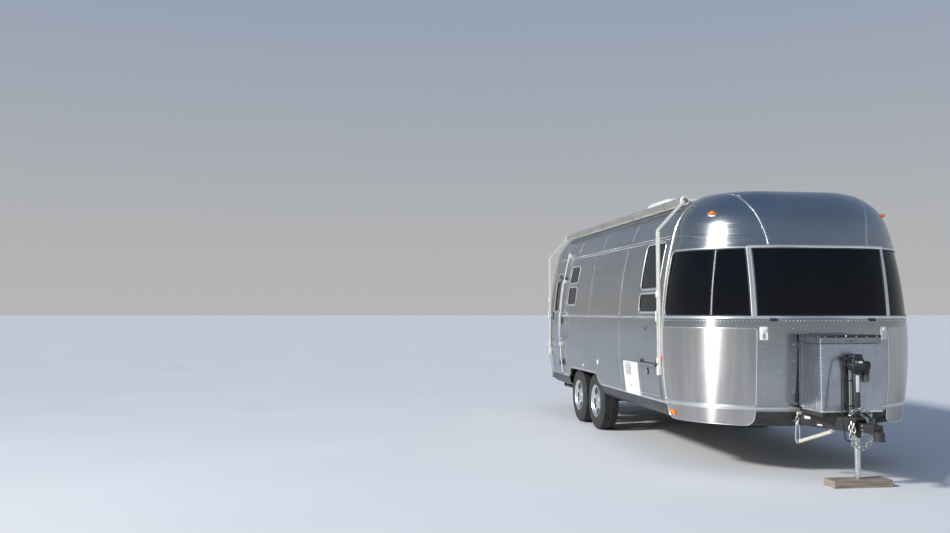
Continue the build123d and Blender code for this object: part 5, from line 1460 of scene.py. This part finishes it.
def cover_line(height):
    """Outline of the gas cover in plan from its rear right corner round the front."""
    back, nose = 0.060, 0.014        # radii of the rear and front corners
    corner_arcs = (
        arc(cover_rear + back, -cover_half + back, back, pi),
        arc(cover_front - nose, -cover_half + nose, nose, -pi / 2),
        arc(cover_front - nose, cover_half - nose, nose, 0.0), arc(cover_rear + back, cover_half - back, back,
                                                                   pi / 2),
    )
    return [(x, y, height) for points in corner_arcs for x, y in points]


bar("gas_lid_bead", cover_line(1.2695),
    [(-0.001, -0.0040), (0.0035, -0.0030), (0.0035, 0.0030), (-0.001, 0.0040)], lid_sheet, "gas_lid")
bar("gas_cover_foot", cover_line(0.656), [(-0.001, -0.009), (0.004, -0.008), (0.004, 0.008), (-0.001, 0.009)],
    bright_trim)
bar("gas_lid_edge", cover_line(edge_height + 0.002),
    [(-0.001, -0.013), (0.0035, -0.012), (0.0035, 0.009), (-0.001, 0.0105)], black_plastic, "gas_lid")
cover_rivets, lid_rivets = Studs(), Studs()
ahead = (1, 0, 0)
edge_studs = (cover_front + 0.0034, cover_half + 0.0034)
for i in range(6):
    y = -0.25 + 0.10 * i
    lid_rivets.add(Vector((edge_studs[0], y, edge_height)), ahead, 0.006, 0.003)
    cover_rivets.add(Vector((cover_front, y, 0.680)), ahead, 0.0045, 0.002)
for sign in (-1, 1):
    sideways = (0, sign, 0)
    for i in range(4):
        x = 3.165 + 0.09 * i
        lid_rivets.add(Vector((x, sign * edge_studs[1], edge_height)), sideways, 0.006, 0.003)
        cover_rivets.add(Vector((x, sign * cover_half, 0.680)), sideways, 0.0045, 0.002)
    for i in range(7):
        z = 0.74 + 0.08 * i
        cover_rivets.add(Vector((cover_front, sign * (cover_half - 0.026), z)), ahead, 0.0045, 0.002)
        cover_rivets.add(Vector((cover_front - 0.028, sign * cover_half, z)), sideways, 0.0045, 0.002)
cover_rivets.make("gas_cover_rivets")
lid_rivets.make("gas_lid_rivets", rides="gas_lid")
for side, sign in signs:
    low, high = sorted((sign * (cover_half - 0.002), sign * (cover_half + 0.0004)))
    slab("gas_cover_return_" + side, (3.072, low, 0.664), (3.146, high, 1.266), cover_sheet, 0.001)
    slab("gas_lid_return_" + side, (3.084, low, 1.272), (3.146, high, 1.340), lid_sheet, 0.001, "gas_lid")
slab("gas_lid_lip", (cover_front - 0.004, -0.055, 1.281), (cover_front + 0.012, 0.055, 1.289), lid_sheet,
     0.003, "gas_lid")

# Safety chains: smooth links along each chain's run
link_pitch = 0.039
link_straight = 0.012        # half of a straight side
link_bend, link_wire = 0.0130, 0.0050        # radius of a rounded end and of the wire
link_around, link_ring = 24, 8


def chain_link(middle, run, turn):
    """Points of one closed oval link, as a ring of small circles."""
    side = (run.cross(Vector((0, 0, 1))) if abs(run.z) < 0.95 else run.cross(Vector((0, 1, 0)))).normalized()
    side = Matrix.Rotation(turn, 3, run) @ side
    level = run.cross(side)
    points = []
    for i in range(link_around):
        angle = tau * i / link_around
        straight = link_straight if cos(angle) > 0 else -link_straight
        spine = middle + run * (straight + link_bend * cos(angle)) + side * link_bend * sin(angle)
        outward = run * cos(angle) + side * sin(angle)
        for u, v in disc(1.0, link_ring):
            points.append(spine + (outward * u + level * v) * link_wire)
    return points


def make_chain(name, path):
    path = [Vector(point) for point in path]
    for _ in range(3):
        path = path[:1] + [(a * u + b * (1 - u)) for a,
                           b in zip(path, path[1:]) for u in (0.75, 0.25)] + path[-1:]
    points, faces, gone, number = [], [], 0.0, 0
    for a, b in zip(path, path[1:]):
        run = (b - a).length
        while gone + run >= link_pitch * (number + 0.5) and run > 0:
            share = (link_pitch * (number + 0.5) - gone) / run
            faces += tube_faces(link_around, link_ring, True, len(points))
            points += chain_link(a + (b - a) * share, (b - a).normalized(), pi / 2 * (number % 2) + 0.4)
            number += 1
        gone += run
    return piece(name, points, faces, zinc)


chain = make_chain("safety_chain_right", [
    (3.614, -0.0964, 0.585), (3.628, -0.118, 0.480), (3.632, -0.100, 0.385), (3.632, -0.040, 0.338),
    (3.632, 0.030, 0.345), (3.630, 0.084, 0.400), (3.624, 0.094, 0.480)])
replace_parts(chain, "safety_chains")
make_chain("safety_chain_tail", [
    (3.640, -0.092, 0.570), (3.656, -0.098, 0.470), (3.658, -0.070, 0.392), (3.656, -0.010, 0.372),
    (3.656, 0.050, 0.402), (3.650, 0.074, 0.470)])
make_chain("safety_chain_left", [
    (3.600, -0.104, 0.638), (3.596, -0.066, 0.670), (3.594, -0.008, 0.688), (3.594, 0.046, 0.682),
    (3.600, 0.092, 0.648), (3.604, 0.116, 0.588), (3.604, 0.120, 0.498)])
lift_x, lift_y = 3.040, 0.3027
hook_line = rounded([(-0.022, 0.318), (0.022, 0.318), (0.016, 0.512), (-0.016, 0.512)])
for side, sign in signs:
    make_chain("lift_chain_" + side, [(lift_x, sign * lift_y, 0.600), (lift_x, sign * lift_y, 0.500)])
    bar("snap_hook_" + side, [(lift_x, sign * lift_y + y, z) for y, z in hook_line], disc(0.0075, 10),
        leg_silver, up=(1, 0, 0), closed=True)


# Roof unit and vents: shrouds lofted from rounded outlines, with slots, seams and screws
def shroud(name, x, half, levels, corner, material):
    """Rounded cover standing on the roof's middle; each level is (height, inset)."""
    points = []
    for height, inset in levels:
        low, high = (x - half[0] + inset, inset - half[1]), (x + half[0] - inset, half[1] - inset)
        loop = round_box(low, high, max(corner - inset * 0.5, 0.02), 8)
        points += [(u, v, height) for u, v in loop]
    return piece(name, points, tube_faces(len(levels), len(loop)), material)


def shroud_levels(low, high, edge, steps=8):
    """Upright side, then a quarter round of this edge size up to a flat top."""
    turns = [pi / 2 * i / steps for i in range(steps + 1)]
    top = [(high - edge + edge * sin(turn), edge * (1 - cos(turn)) + 0.004) for turn in turns]
    return [(low, 0.0), (low + 0.012, 0.0), (low + 0.014, 0.004)] + top


unit_middle, unit_half, unit_top = -0.720, (0.430, 0.350), 3.056
unit = shroud("roof_unit_shroud", unit_middle, unit_half, shroud_levels(roof_top - 0.010, unit_top, 0.085),
              0.14, cream_paint)
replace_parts(unit, "roof_air_conditioner")
shroud("roof_unit_gasket", unit_middle, (unit_half[0] - 0.03, unit_half[1] - 0.03),
       [(2.790, 0.0), (roof_top + 0.004, 0.0)], 0.12, black_plastic)
for number in range(6):
    z = roof_top + 0.040 + 0.020 * number
    for side, sign in signs:
        low, high = sorted((sign * (unit_half[1] - 0.012), sign * (unit_half[1] - 0.0015)))
        slab("roof_unit_slot_%s_%d" % (side, number + 1), (unit_middle - 0.26, low, z),
             (unit_middle + 0.26, high, z + 0.009), well_black, 0.002, steps=2)
    slab("roof_unit_rear_slot_%d" % (number + 1), (unit_middle - unit_half[0] + 0.0015, -0.20, z),
         (unit_middle - unit_half[0] + 0.012, 0.20, z + 0.009), well_black, 0.002, steps=2)
unit_screws = Studs()
for sign in (-1, 1):
    for x in (-0.28, 0.28):
        spot = Vector((unit_middle + x, sign * (unit_half[1] - 0.0002), 2.812))
        unit_screws.add(spot, (0, sign, 0), 0.008, 0.004)
unit_screws.make("roof_unit_screws", zinc, slot="white_paint")
for number, x in enumerate((1.250, -1.900)):
    for part, half, levels, corner, material in (
        ("lid", 0.230, shroud_levels(roof_top + 0.030, 2.901, 0.038), 0.06, white_plastic),
        ("frame", 0.222, [(roof_top - 0.02, 0.0), (roof_top + 0.034, 0.004)], 0.05, cream_paint),
        ("flange", 0.229, [(roof_top - 0.02, 0.0), (roof_top + 0.006, 0.0)], 0.03, bright_trim),
    ):
        made = shroud("roof_vent_%s_%d" % (part, number + 1), x, (half, half), levels, corner, material)
        if part == "lid" and number == 0:
            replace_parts(made, "roof_vents")
    for rib in range(3):
        slab("roof_vent_rib_%d_%d" % (number + 1, rib + 1), (x - 0.15, -0.105 + 0.1 * rib, 2.899),
             (x + 0.15, -0.095 + 0.1 * rib, 2.904), white_plastic, 0.002)


# Rear: lamp bezels, lenses, locker door and blank number plate
def lamp_box(low, high, grow, corner):
    start, stop = along_at_y(1.06 + grow, rise_at(0.84)), along_at_y(0.96 - grow, rise_at(0.84))
    return round_box((start, rise_at(low) - grow), (stop, rise_at(high) + grow), corner)


for side, put in (("right", to_rear), ("left", to_rear_left)):
    ribbon("lamp_bezel_" + side, lamp_box(0.70, 0.98, 0.006, 0.042), half_round(0.020, 0.016), closed=True,
           place=put, gap=0.02)
    for part, low, high, lens in (("reverse", 0.715, 0.765, clear_lens), ("turn", 0.785, 0.850, amber_lens)):
        skin("lamp_%s_%s" % (part, side), lamp_box(low, high, -0.014, 0.012), thick=(0.0215, 0.0245),
             gap=0.03, place=put, material=lens)
locker_half, locker_low, locker_high = 0.56, 0.74, 1.36
locker = [front_spot(y, z) for y, z in (
    (locker_half, locker_low), (0.0, locker_low), (-locker_half, locker_low), (-locker_half, locker_high),
    (0.0, locker_high), (locker_half, locker_high))]
locker_line = rounded(locker, 0.08)
skin("rear_locker", locker_line, thick=(0.0022, 0.0042), place=to_rear)
ribbon("rear_locker_bead", locker_line, half_round(0.014, 0.0065), closed=True, place=to_rear, lift=0.001)
for number, y in enumerate((-0.38, 0.38)):
    along = along_at_y(y, rise_at(0.82))
    skin("rear_locker_latch_%d" % (number + 1), wall_box(along - 0.028, along + 0.028, 0.795, 0.845, 0.010),
         thick=(0.004, 0.014), gap=0.02, place=to_rear, material=black_plastic)
bumper_rear = -3.950
slab("number_plate", (bumper_rear - 0.003, -0.45, 0.459), (bumper_rear + 0.002, -0.15, 0.541), white_plastic,
     0.001, steps=1)
for side, low, high in (("right", -1.018, -1.004), ("left", 1.004, 1.018)):
    slab("bumper_cap_" + side, (bumper_rear + 0.0005, low, 0.456), (-3.8805, high, 0.544), black_plastic)
slab("bumper_lid", (bumper_rear + 0.006, -0.10, 0.543), (-3.888, 0.80, 0.549), bumper_paint, 0.002)
for number, y in enumerate((0.05, 0.65)):
    slab("bumper_hinge_%d" % (number + 1), (-3.900, y - 0.03, 0.545), (-3.884, y + 0.03, 0.5535), zinc, 0.003)

# CAD parts that stay, in their finishes; the belly pan's near-black colour is painted shade of the underside
node_finish = {"belly_pan": shaded_pan_sheet, "gas_bottle_cover": cover_sheet, "gas_cover_lid": lid_sheet,
               "spring_bars": bar_beige}
for row in frame["record"]["subparts"]:
    slots = nodes[row["node"]].data.materials
    slots.clear()
    slots.append(node_finish.get(row["node"], slot_finishes[row["material_slot"]][0]))
